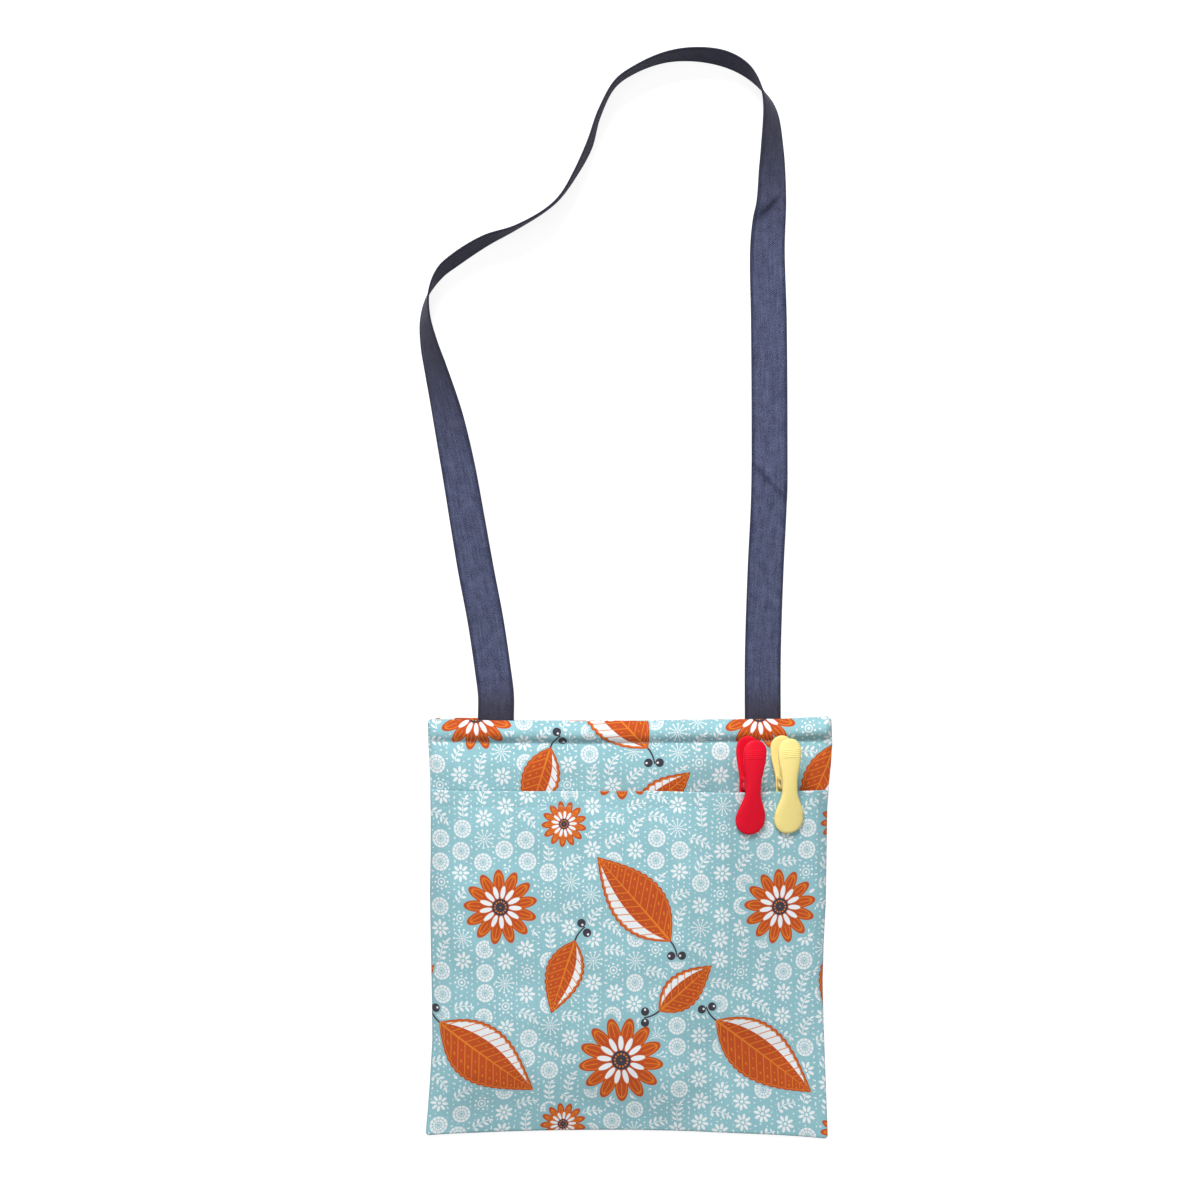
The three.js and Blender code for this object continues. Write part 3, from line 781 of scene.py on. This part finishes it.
# The strap's route: x, y past the bag's mouth and how far it leans inwards, in degrees.
strap_route = np.array([
    (-111, 1.65, 0), (-111, 20.8, 0), (-113.6, 41.7, 0), (-119.8, 83.3, 0), (-127.7, 125, 2),
    (-134.8, 166.7, 10), (-141.9, 208.3, 17), (-150.2, 250, 30), (-155.2, 270.8, 40), (-160.7, 291.7, 50),
    (-166.1, 312.5, 60), (-169, 333.3, 71), (-166.6, 352.1, 83), (-156.7, 370.4, 96), (-144.2, 381.1, 100),
    (-119.5, 396.8, 97), (-94.7, 407.5, 86), (-69.9, 422, 83), (-57.5, 433.2, 85), (-45.1, 452.2, 90),
    (-33.1, 476.2, 95), (-25, 502, 91), (-12, 526.6, 88), (4.5, 538.6, 88), (29.3, 548.5, 92),
    (54.1, 551, 97), (78.9, 547.2, 100), (97, 537.5, 95), (109.5, 522.5, 81), (116.2, 506.7, 65),
    (118.3, 476.7, 49), (117.7, 435.8, 31), (114.9, 395, 13), (116.2, 333.3, 2), (116.8, 250, 0),
    (116.4, 187.5, 0), (113.5, 125, 0), (111.4, 62.5, 0), (111, 20.8, 0), (111, 1.65, 0),
])
# Each crease runs from one place to another, with its height, and is steep on one side.
creases = [((107, 593), (121, 608), 2.6), ((106, 386), (130, 359.5), 3.8)]
gentle_side, steep_side, crease_reach = 16, 2.6, 0.6
# How much painted sheen the stretch that stands on edge keeps.
standing_sheen_share = 0.22


def smooth_way(points, steps):
    """A centripetal Catmull-Rom curve through points: between two of them a cubic whose slopes come
    from the neighbours, each weighed by the square root of its distance in x and y."""
    ends = np.concatenate([[2 * points[0] - points[1]], points, [2 * points[-1] - points[-2]]])
    gap = np.sqrt(np.linalg.norm(np.diff(ends[:, :2], axis=0), axis=1))[:, None]
    slope = np.diff(ends, axis=0) / gap
    before, after = gap[:-1], gap[1:]
    joint = slope[:-1] - (ends[2:] - ends[:-2]) / (before + after) + slope[1:]
    share = np.linspace(0, 1, steps, endpoint=False)[:, None, None]
    start, finish = points[:-1], points[1:]
    leave, arrive = joint[:-1] * gap[1:-1], joint[1:] * gap[1:-1]
    curve = (
        (2 * share**3 - 3 * share**2 + 1) * start + (share**3 - 2 * share**2 + share) * leave
        + (3 * share**2 - 2 * share**3) * finish + (share**3 - share**2) * arrive
    )
    return np.concatenate([np.swapaxes(curve, 0, 1).reshape(-1, points.shape[1]), points[-1:]])


def ribbon_profile():
    """Round the webbing's section: a flat band whose two selvedges are slightly thicker half rounds."""
    half = strap_width / 2
    edge = strap_thickness / 2
    columns = np.linspace(-1, 1, 21) * (half - edge)
    across = np.concatenate([columns, -columns])
    side = np.repeat([1, -1], len(columns))
    thick = edge * np.where(np.abs(across) > half - selvedge_width, 1.0, thin_middle) * side
    bend = np.linspace(np.pi / 2, -np.pi / 2, 7)[1:-1]
    right = np.stack([half - edge + edge * np.cos(bend), edge * np.sin(bend)], axis=1)
    flat = np.stack([across, thick], axis=1)
    return np.concatenate([flat[: len(columns)], right, flat[len(columns) :], -right])


def bell(distance, width):
    """1 at no distance, less by a bell curve, and about a third at a distance of width."""
    return np.exp(-((distance / width) ** 2))


way = smooth_way(strap_route, route_steps)
way[:, 1] += top_y
tail = np.linspace(top_y - strap_tail, way[0, 1], tail_rows, endpoint=False)
left_tail = np.stack([0 * tail - strap_foot, tail, 0 * tail], axis=1)
way = np.concatenate([left_tail, way, (left_tail * (-1, 1, 1))[::-1]])
run = run_along(way[:, :2])
even = np.linspace(0, run[-1], ring_count)
way = np.stack([np.interp(even, run, column) for column in way.T], axis=1)
heading = unit(np.gradient(way[:, :2], axis=0))
lean = np.radians(way[:, 2])
inwards = np.stack([heading[:, 1], -heading[:, 0], 0 * lean], axis=1)
upwards = np.array([0, 0, 1])
wide = inwards * np.cos(lean)[:, None] + upwards * np.sin(lean)[:, None]
deep = upwards * np.cos(lean)[:, None] - inwards * np.sin(lean)[:, None]
standing = strap_width * np.abs(np.sin(lean)) + strap_thickness * np.abs(np.cos(lean))
lifted = end_height * (1 - softly(0, drop_run, way[:, 1] - fold_y))
centre = np.stack([way[:, 0], way[:, 1], lifted + standing / 2], axis=1)
profile = ribbon_profile()
rings = centre[:, None] + profile[:, :1] * wide[:, None] + profile[:, 1:] * deep[:, None]
for start, finish, crease_height in creases:
    crease = np.subtract(finish, start)
    length = np.linalg.norm(crease)
    line = crease / length
    past_middle = (rings[..., :2] - np.add(start, finish) / 2) @ line
    away = (rings[..., :2] - start) @ (-line[1], line[0])
    held = np.exp(-((past_middle / length / crease_reach) ** 4))
    lift = crease_height * held * bell(away, np.where(away > 0, gentle_side, steep_side))
    rings = rings + lift[..., None] * deep[:, None]


def closed_tube(rings):
    """A skin over rings of points, with a fan of triangles over each end. Its faces are turned outwards:
    the sum of the triangles' triple products, six times the volume, tells which way they face."""
    count, around = rings.shape[:2]
    last = count * around
    points = np.concatenate([rings.reshape(-1, 3), rings[:1].mean(axis=1), rings[-1:].mean(axis=1)])
    side = np.arange(around)
    beside = np.roll(side, -1)
    first_fan = np.stack([beside, side, 0 * side + last], axis=1)
    last_fan = np.stack([side, beside, 0 * side + around + 1], axis=1) + last - around
    quads = grid_faces(count, around, True)
    corners = np.concatenate([quads[:, [0, 1, 2]], quads[:, [0, 2, 3]], first_fan, last_fan])
    a, b, c = (points[corners[:, i]] for i in range(3))
    inside_out = (a * np.cross(b, c)).sum() < 0
    faces = quads.tolist() + first_fan.tolist() + last_fan.tolist()
    return points, [face[::-1] for face in faces] if inside_out else faces


def herringbone():
    """Twill that turns back every few millimetres: a wave along the strap, shifted by the distance
    from the middle of its column, over fine noise along the threads."""
    tree, given, made = new_group("herringbone", {"Point": "Vector"}, {"Height": "Float"})
    point = given.outputs["Point"]
    along, across = parts_of(tree, point)
    zigzag = abs(across.wrap(7.4))
    rib = ((along + zigzag) * (2 * np.pi / 1.9)).join("SINE").join("MULTIPLY_ADD", 0.5, 0.5)
    long_threads = vector_node(tree, "MULTIPLY", point, (0.04, 0.6, 1))
    fuzz, column = noise(tree, point, scale=0.8, detail=4), noise(tree, long_threads, scale=1, detail=2)
    uneven = fuzz * 0.9 + column * 0.5
    selvedge = abs(across).join("MULTIPLY_ADD", 0.3, -3.4, clamp=True)
    feed_all(made, Height=rib * 0.35 + uneven - selvedge * 0.35 - 0.35)
    return tree


strap_cotton, tree, output = new_material("strap_webbing")
point = mapped(tree, "webbing", 1000)
twill = place_group(tree, herringbone(), Point=point)
height = Drawn(twill.outputs["Height"])
tone = height * 1.5 + noise(tree, point, scale=0.13, detail=2) * 0.7 - 0.67
# A darker copy of the webbing's colour for painted shade, and a paler one for painted sheen.
webbing_shade_colour = mix_colour(tree, tone, paint(44, 42, 54), paint(67, 65, 81))
webbing_sheen_colour = mix_colour(tree, tone, paint(40, 43, 64), paint(94, 100, 131))
painted_sheen = tree.nodes.new("ShaderNodeAttribute")
painted_sheen.attribute_name = "painted_sheen"
finish_material(
    output, Base_Color=mix_colour(tree, painted_sheen.outputs["Fac"], webbing_shade_colour, webbing_sheen_colour),
    Normal=bumped(tree, height, strength=0.6, distance=0.0003), Sheen_Weight=0.03,
    Roughness=height.join("MULTIPLY_ADD", -0.12, 0.9), Specular_IOR_Level=0.15,
)

webbing_strap = add_mesh("webbing_strap", *closed_tube(rings), strap_cotton)
run = run_along(centre)
flat = np.stack(np.meshgrid(run, profile[:, 0], indexing="ij"), axis=-1).reshape(-1, 2)
put_map(webbing_strap.data, "webbing", np.concatenate([flat, [(run[0], 0), (run[-1], 0)]]) * 0.001)
# Painted shade on the stretch that stands on edge and beside the bag's mouth, painted sheen where it lies
# flat.
flatness = 1 - softly(8, 62, way[:, 2])
painted_sheen_share = standing_sheen_share * (1 - flatness) + flatness * softly(2, 40, way[:, 1] - top_y)
painted_sheen_share = np.concatenate([np.repeat(painted_sheen_share, len(profile)), painted_sheen_share[[0, -1]]]).astype(np.float32)
webbing_strap.data.attributes.new("painted_sheen", "FLOAT", "POINT").data.foreach_set("value", painted_sheen_share)
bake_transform(webbing_strap)
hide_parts("shoulder_strap", "strap_end_left", "strap_end_right")


# Front panel
# The second piece of cotton. It rises from the seams to make room in the bag, its turned hem stands up
# as a soft roll along the mouth, and the pegs' weight presses it down on the right.

main_gap = 8.5
pocket_drop = 58
mouth_y = top_y - pocket_drop
puff_run, bottom_run = 42, 62
pressed_gap = 1
strap_room = 4.1
hem_puff, hem_unevenness = 4.2, 0.75
gather_pitch, gather_height, gather_width = 9.7, 0.5, 6
stitch_draw, stitch_draw_width = 0.6, 3.2
low_swell, low_swell_drop = 1.8, 18
pucker_height, pucker_width = 0.22, 5
inner_peg, outer_peg = 100, 133
jaw_width = 25
peg_zone = inner_peg - jaw_width
front_seam, inner_share = 1.45, 0.3
side_tuck, bottom_tuck = 0.0095, 1.6


def bottom_rise(across, y):
    """Share of the room in the bag that is left near the bottom seam: it rises by a cubic, more gently
    than in the solid model."""
    share = np.clip(from_bottom(across, y) / bottom_run, 0, 1)
    return share * (1.5 - 0.5 * share**2)


def front_z(across, y):
    """Lower face of the front panel, as in the solid model: the room in the bag, less where it is
    pressed down by the pegs, or the step up to the hem, whichever is higher."""
    pressed = softly(peg_zone - puff_run, peg_zone, across)
    low_gap = pressed_gap + (strap_room - pressed_gap) * softly(mouth_y, top_y - hem_depth, y)
    full = main_gap + (low_gap - main_gap) * pressed
    gap = full * swell(from_side(across), puff_run) * bottom_rise(across, y)
    return layer + np.maximum(gap, 2 * layer * softly(top_y - hem_depth - hem_run, top_y - hem_depth, y))


def puckers(across, y):
    """Small sine waves along the seams, where the sewing thread has drawn the cloth together. They die
    away from the seam, and their pitch strays along it."""
    aside, above = from_side(across), from_bottom(across, y)
    beside_side = np.sin(2 * np.pi * y / 8.3 + 1.7 * np.sin(y / 19)) * np.exp(-aside / pucker_width)
    beside_bottom = np.sin(2 * np.pi * across / 7.6 + 1.9 * np.sin(across / 23))
    beside_bottom = beside_bottom * np.exp(-above / pucker_width)
    return pucker_height * (beside_side * swell(aside, 2.5) + beside_bottom * swell(above, 2.5))


def hem_roll(across, y):
    """Height of the hem's roll over its inner layer: half a sine wave, steeper towards the stitching and
    uneven along the mouth. The stitching draws the cloth down and gathers it, and below it the cloth
    swells a little, each by a bell curve."""
    share = np.clip((top_y - y) / hem_depth, 0, 1)
    fullness = 1 + hem_unevenness * waves(across, 0, 21, 30, 110)
    roll = hem_puff * fullness * np.sin(np.pi * share**1.2)
    above = y - top_y + hem_depth
    gathers = np.sin(2 * np.pi * across / gather_pitch + 2.3 * np.sin(across / 31) + 0.12 * y)
    gathered = gather_height * gathers * bell(above, gather_width)
    drawn = stitch_draw * bell(above, stitch_draw_width)
    past = above + low_swell_drop
    swollen = low_swell * bell(past, np.where(past > 0, 12, 18))
    return (roll - drawn + gathered + swollen) * swell(from_side(across), 7)


def crumpled(across, y, seed):
    """Slack that the front panel and the pocket share, and finer slack of each panel's own."""
    return 1.7 * waves(across, y, 11) + 0.5 * waves(across, y, seed, 22, 48)


y, turned = hemmed_rows(across, top_y, hem_depth)
middle = front_z(across, y) + solid_cloth / 2
uneven = crumpled(across, y, 3) * slackness(across, y) + puckers(across, y)
outer = rolled(middle + hem_roll(across, y) + uneven, front_seam, across, y)
inner = rolled(middle - layer + inner_share * uneven, front_seam - clearance, across, y)
x, up = sewn_outline(across, y)
# Behind the pocket it is drawn in a little from the seams, so that the pocket's turned edge covers it.
behind_pocket = softly(mouth_y + 4, mouth_y - 6, y)
x = x * (1 - side_tuck * behind_pocket)
up = up + bottom_tuck * at_bottom(y)
z = outer + (inner - outer) * turned
front_cloth = cloth_piece("front_cloth", across, x, up, z, printed_cotton("front_cotton", (20, 96)))
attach(front_cloth, "bag")
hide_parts("front_panel")
hem_row = row_near(y, turned, top_y - hem_depth)
face = np.stack([x, up, outer + cloth_thickness / 2], axis=-1)
front_stitches = stitch_row("front_hem_stitches", face[hem_row, seamed], np.array([0, 0, 1]))


# Pocket
# The third piece of cotton, 58 mm lower than the bag's mouth and sewn in along the same seams. Its
# mouth is a narrow turned hem, which the two pegs hold up on the right.

pocket_hem = 12
pocket_gap = 7
jaw_depth = 6.6
peg_float = 6
peg_lift = layer / 2 + jaw_depth + peg_float + solid_cloth / 2
pocket_slope = 0.26
gape_end, gape_run = 85, 65
seam_rise = 0.75
ramp_run, ramp_bend = 200, 0.12
least_bend = 0.6
peg_grip, pad_middle = 34.5, 9.8
mouth_lift = peg_lift + pocket_slope * (outer_peg - gape_end + gape_run / 12)
pocket_seam = 1.55
pocket_draw, pocket_draw_width = 0.3, 1.6
belly_height, belly_top, belly_end = 2.5, 45, 230


def soft_plus(value, width):
    """Nearly 0 below 0 and nearly value above it, with a smooth bend."""
    return width * np.log1p(np.exp(value / width))


def pocket_room(across, y):
    """Room inside the pocket: an even gap on the left, and on the right the least of the mouth's rise
    towards the pegs, its fall over them and its fall to the seam, less with the depth."""
    drop = mouth_y - y
    share = drop / (mouth_y - bottom_y(across))
    even = pocket_gap * swell(across + half_bag, puff_run) * (1 - softly(0, inner_peg, across))
    gaping = even + mouth_lift * softly(gape_end - gape_run, gape_end, across)
    over_pegs = peg_lift + pocket_slope * (outer_peg - across)
    beside_seam = seam_rise * (half_bag - across)
    rises = gaping, over_pegs, beside_seam
    least = -least_bend * np.log(sum(np.exp(-rise / least_bend) for rise in rises))
    raised = np.maximum(0, least)
    ramp = soft_plus(1 - (drop - peg_grip + pad_middle) / ramp_run, ramp_bend)
    steady = np.minimum(even, raised)
    return steady * (1 - share**3) + (raised - steady) * ramp


def pocket_z(across, y):
    """Lower face of the pocket, as in the solid model: its room, or the step up to its hem, on the
    front panel."""
    hem_step = layer * softly(mouth_y - pocket_hem - hem_run, mouth_y - pocket_hem, y)
    room = pocket_room(across, y) * bottom_rise(across, y)
    return front_z(across, y) + layer + np.maximum(room, hem_step)


y, turned = hemmed_rows(across, mouth_y, pocket_hem)
drop = mouth_y - y
free = slackness(across, y)
clear_of_pegs = 1 - softly(peg_zone - 25, peg_zone, across) * softly(-20, 40, y)
uneven = crumpled(across, y, 8) * free * clear_of_pegs + puckers(across, y)
# Below its mouth it stands a little fuller than the solid model.
belly = belly_height * softly(0, belly_top, drop) * softly(belly_end, belly_top, drop)
drawn = pocket_draw * bell(y - mouth_y + pocket_hem, pocket_draw_width) * clear_of_pegs
middle = pocket_z(across, y) + solid_cloth / 2 + uneven + belly * free * clear_of_pegs
outer = rolled(middle - drawn, pocket_seam + bottom_lift * at_bottom(y), across, y)
x, up = sewn_outline(across, y)
z = outer - layer * turned
pocket_cloth = cloth_piece("pocket_cloth", across, x, up, z, printed_cotton("pocket_cotton", (0, 0)))
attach(pocket_cloth, "bag")
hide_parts("pocket_panel")
hem_row = row_near(y, turned, mouth_y - pocket_hem)
face = np.stack([x, up, outer + cloth_thickness / 2], axis=-1)
pocket_stitches = stitch_row("pocket_hem_stitches", face[hem_row, seamed], np.array([0, 0, 1]))


# Pegs
# Two soft-touch plastic pegs, each of two moulded arms with domed backs, a ribbed pad in the jaw and
# fine ridges on the handle, on a steel pin with a torsion spring, clipped over the pocket's mouth.

peg_length = 80
waist_width, handle_width = 13, 19.5
jaw_taper_end, handle_taper_start, handle_taper_end = 37, 42, 67
pivot_from_jaw = 42
pad_length, pad_start, pad_ribs, pad_rib_depth = 14, 2, 5, 0.5
pad_gap = 1.55
jaw_tip_depth, waist_depth = 4.2, 10.8
pivot_splay, handle_splay = 6.4, 8.8
handle_bulge, handle_tip_bulge = 0.22 * handle_width, 0.11 * handle_width
edge_radius, rim_share = 2.6, 0.42
square_power, round_power = 6, 2.25
pin_radius, pin_bevel, lug_wall, lug_thickness = 1.1, 0.4, 4.2, 1.3
wire, coil_turns, coil_pitch, spring_leg = 1.1, 2.5, 1.65, 20
play = 0.3
lug_radius = pin_radius + play + lug_wall
coil_radius = pin_radius + play + wire / 2
front_lug = (coil_turns * coil_pitch + wire) / 2 + play
back_lug = front_lug + lug_thickness + play
pin_length = 2 * (back_lug + lug_thickness)
arm_inner = np.array([
    (0, pad_gap), (pad_length, pad_gap), (pad_length + 4, pad_gap + pad_rib_depth + 1),
    (pivot_from_jaw - lug_radius, pivot_splay), (pivot_from_jaw + lug_radius, pivot_splay),
    (peg_length, handle_splay),
])
arm_outer = np.array([
    (0, jaw_tip_depth), (pad_length, jaw_depth), (pivot_from_jaw, waist_depth),
    (handle_taper_end, np.interp(handle_taper_end, *arm_inner.T) + handle_bulge),
    (peg_length, handle_splay + handle_tip_bulge),
])
arm_width = [
    (pad_length, jaw_width), (jaw_taper_end, waist_width), (handle_taper_start, waist_width),
    (handle_taper_end, handle_width),
]
grip_ridges, grip_pitch, grip_height = 5, 1.5, 0.3
grip_end = peg_length - handle_width / 2 + grip_pitch
grip_start = grip_end - grip_ridges * grip_pitch


def eased(pairs, place):
    """Smooth steps between the knots of a profile."""
    at, value = np.array(pairs, float).T
    step = np.clip(np.searchsorted(at, place) - 1, 0, len(at) - 2)
    share = softly(at[step], at[step + 1], place)
    return value[step] + (value[step + 1] - value[step]) * share


def round_end(distance, radius):
    """Half the width of a round end at a distance from its tip."""
    left = np.clip(radius - distance, 0, radius)
    return np.sqrt(radius**2 - left**2)


def ripple(place, pitch):
    """Ribs of a cosine wave, from 0 at place 0 up to 1 half a pitch on."""
    return 0.5 - 0.5 * np.cos(2 * np.pi * place / pitch)


def arm_places():
    """Places of the sections along an arm: closest at its two tips and on the ridges of the handle."""
    tip = 5 * (1 - np.cos(np.linspace(0.03, np.pi / 2, 18)))
    shank = np.arange(5.3, grip_start, 0.45)
    grip = np.arange(grip_start, grip_end, 0.15)
    handle = np.linspace(grip_end, peg_length - 5.3, 10)
    return np.concatenate([tip, shank, grip, handle, peg_length - tip[::-1]])


def arm_rings():
    """Sections along an arm: a superellipse that is nearly square on the flat inner side and nearly
    round on the domed back, its width from the taper and the round ends, with ribs cut into the pad
    and ridges raised on the handle."""
    at = arm_places()[:, None]
    straight = eased(arm_width, at) / 2
    jaw = round_end(at, jaw_width / 2)
    handle = np.where(at > pivot_from_jaw, round_end(peg_length - at, handle_width / 2), straight)
    half = np.minimum(np.minimum(straight, jaw), handle)
    in_pad = softly(pad_start - 0.4, pad_start + 0.4, at) * softly(pad_length, pad_length - 0.6, at)
    rib = ripple(at - pad_start, (pad_length - pad_start) / pad_ribs)
    inner = np.interp(at, *arm_inner.T) + pad_rib_depth * rib * in_pad
    outer = np.interp(at, *smooth_way(arm_outer, 12).T)
    rounding = round_end(np.minimum(at, peg_length - at), edge_radius) / edge_radius
    rim = inner + rim_share * (outer - inner)
    angle = round_angles(64)[None]
    cosine, sine = np.cos(angle), np.sin(angle)
    power = np.where(sine > 0, 2 / round_power, 2 / square_power)
    across = np.sign(cosine) * np.abs(cosine) ** power
    height = np.sign(sine) * np.abs(sine) ** power
    reach = np.where(sine > 0, outer - rim, rim - inner) * rounding
    on_grip = (at > grip_start) & (at < grip_end) & (sine > 0)
    raised = grip_height * ripple(at - grip_start, grip_pitch) * on_grip * softly(0.9, 0.6, np.abs(across))
    points = [half * across, at - pivot_from_jaw + 0 * across, rim + reach * height + raised]
    return np.stack(points, axis=-1)


def lug_mesh(start, sides=48):
    """A lug round the pin's bore, from start along the pin: rings round a square root and a round end,
    seen from the pin as the distance to the outline in each direction, and round the bore."""
    angle = round_angles(sides)
    cosine, sine = np.cos(angle), np.sin(angle)
    root = pivot_splay + lug_thickness
    to_flank, to_root = lug_radius / np.maximum(np.abs(cosine), 1e-6), root / np.maximum(sine, 1e-6)
    outline = np.where(sine > 0, np.minimum(to_flank, to_root), lug_radius)
    bore = np.full_like(outline, pin_radius + play)
    radius = np.stack([bore, outline, outline, bore])
    along = start + lug_thickness * np.array([[0], [0], [1], [1]]) + 0 * radius
    rings = np.stack([along, radius * cosine, radius * sine], axis=-1)
    faces = grid_faces(len(rings) + 1, sides, True) % (len(rings) * sides)
    return rings.reshape(-1, 3), faces.tolist()


def joined(*shells):
    """The points and faces of several shells as one mesh."""
    points, faces, count = [], [], 0
    for shell_points, shell_faces in shells:
        points.append(shell_points)
        faces += [[corner + count for corner in face] for face in shell_faces]
        count += len(shell_points)
    return np.concatenate(points), faces


def arm_mesh(lug_start):
    """An arm with its two lugs, which start at that distance from the middle of the pin."""
    lugs = lug_mesh(lug_start), lug_mesh(-lug_start - lug_thickness)
    return joined(closed_tube(arm_rings()), *lugs)


def wire_rings(path, radius, sides, axis=(1, 0, 0)):
    """Round sections along a path, each square to it, with radius at each of its points."""
    heading = unit(np.gradient(path, axis=0))
    out = unit(np.cross(heading, axis))
    beside = np.cross(heading, out)
    angle = round_angles(sides)[:, None]
    radius = np.broadcast_to(radius, len(path))[:, None, None]
    return path[:, None] + radius * (out[:, None] * np.cos(angle) + beside[:, None] * np.sin(angle))


def spring_mesh():
    """A coil round the pin whose two ends run straight on under the handles."""
    leg_rise = np.interp(pivot_from_jaw + spring_leg, *arm_inner.T) - play - wire / 2
    start = -coil_turns * coil_pitch / 2
    turn = np.linspace(0, coil_turns, int(coil_turns * 28))
    angle = np.pi / 2 + 2 * np.pi * turn
    coil = [start + coil_pitch * turn, coil_radius * np.cos(angle), coil_radius * np.sin(angle)]
    leg = np.linspace(spring_leg, 1.5, 14)
    rise = coil_radius + (leg_rise - coil_radius) * leg / spring_leg
    first = np.stack([0 * leg + start, leg, rise], axis=1)
    path = np.concatenate([first, np.stack(coil, axis=1), (first * (-1, 1, -1))[::-1]])
    return closed_tube(wire_rings(path, wire / 2, 12))


def pin_mesh():
    """A straight pin whose ends are rounded by quarter circles."""
    half = pin_length / 2
    bend = np.linspace(0.05, np.pi / 2, 6)
    inset = pin_bevel * (1 - np.cos(bend))
    radius = pin_radius - pin_bevel * (1 - np.sin(bend))
    place = np.concatenate([inset - half, half - inset[::-1]])
    path = np.stack([place, 0 * place, 0 * place], axis=1)
    return closed_tube(wire_rings(path, np.concatenate([radius, radius[::-1]]), 32, axis=(0, 1, 0)))


def moulded_grain():
    """The fine sparkle of a matt mould, and slow wear that rubs it smoother in places."""
    outputs = {"Height": "Float", "Roughness": "Float", "Shade": "Float"}
    tree, given, made = new_group("moulded_grain", {"Point": "Vector"}, outputs)
    fine = noise(tree, given.outputs["Point"], scale=2600, detail=2)
    slow = noise(tree, given.outputs["Point"], scale=90, detail=4)
    feed_all(made, Height=fine, Roughness=slow * 0.16 + fine * 0.08 + 0.4, Shade=slow * 0.7 + fine * 0.3)
    return tree


grain_group = moulded_grain()


def soft_plastic(name, colour, worn_colour):
    """Matt moulded plastic, a little paler where it is worn."""
    material, tree, output = new_material(name)
    place = tree.nodes.new("ShaderNodeTexCoord")
    grain = place_group(tree, grain_group, Point=place.outputs["Object"])
    finish_material(
        output, Base_Color=mix_colour(tree, grain.outputs["Shade"], colour, worn_colour),
        Normal=bumped(tree, grain.outputs["Height"], strength=0.25, distance=0.00008),
        Roughness=grain.outputs["Roughness"], Specular_IOR_Level=0.2,
    )
    return material


peg_steel, tree, output = new_material("peg_steel")
place = tree.nodes.new("ShaderNodeTexCoord")
marks = noise(tree, place.outputs["Object"], scale=1500, detail=3)
finish_material(
    output, Base_Color=mix_colour(tree, marks, paint(150, 152, 156), paint(206, 208, 210)),
    Metallic=1.0, Roughness=marks.join("MULTIPLY_ADD", 0.2, 0.22),
)

joints = {joint["name"]: joint for joint in frame["joints"]}
front_arm, back_arm = arm_mesh(front_lug), arm_mesh(back_lug)
back_arm = back_arm[0] * (-1, 1, -1), back_arm[1]


def clip_peg(colour, plastic):
    """Builds a peg in the frame of its joints: the pin is the axis of the squeeze, and the handles point
    the way that the peg is pulled off."""
    pivot = np.array(joints[f"{colour}_squeeze"]["pos_m"])
    pin = -np.array(joints[f"{colour}_squeeze"]["axis"])
    up = np.array(joints[f"{colour}_pull_off"]["axis"])
    axes = np.stack([pin, up, np.cross(pin, up)])
    parts = [
        ("front_arm", front_arm, plastic, f"{colour}_plastic", f"{colour}_peg_front"),
        ("back_arm", back_arm, plastic, f"{colour}_plastic", f"{colour}_peg"),
        ("pin", pin_mesh(), peg_steel, "peg_steel", f"{colour}_peg"),
        ("spring", spring_mesh(), peg_steel, "peg_steel", None),
    ]
    for name, (points, faces), material, slot, body in parts:
        piece = add_mesh(f"{colour}_{name}", points @ axes + pivot * 1000, faces, material)
        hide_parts(f"{colour}_peg_{name}")
        if body:
            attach(piece, body)
        else:
            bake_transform(piece)


clip_peg("red", soft_plastic("red_plastic", paint(228, 6, 40), paint(236, 14, 48)))
clip_peg("yellow", soft_plastic("yellow_plastic", paint(252, 231, 145), paint(255, 236, 154)))
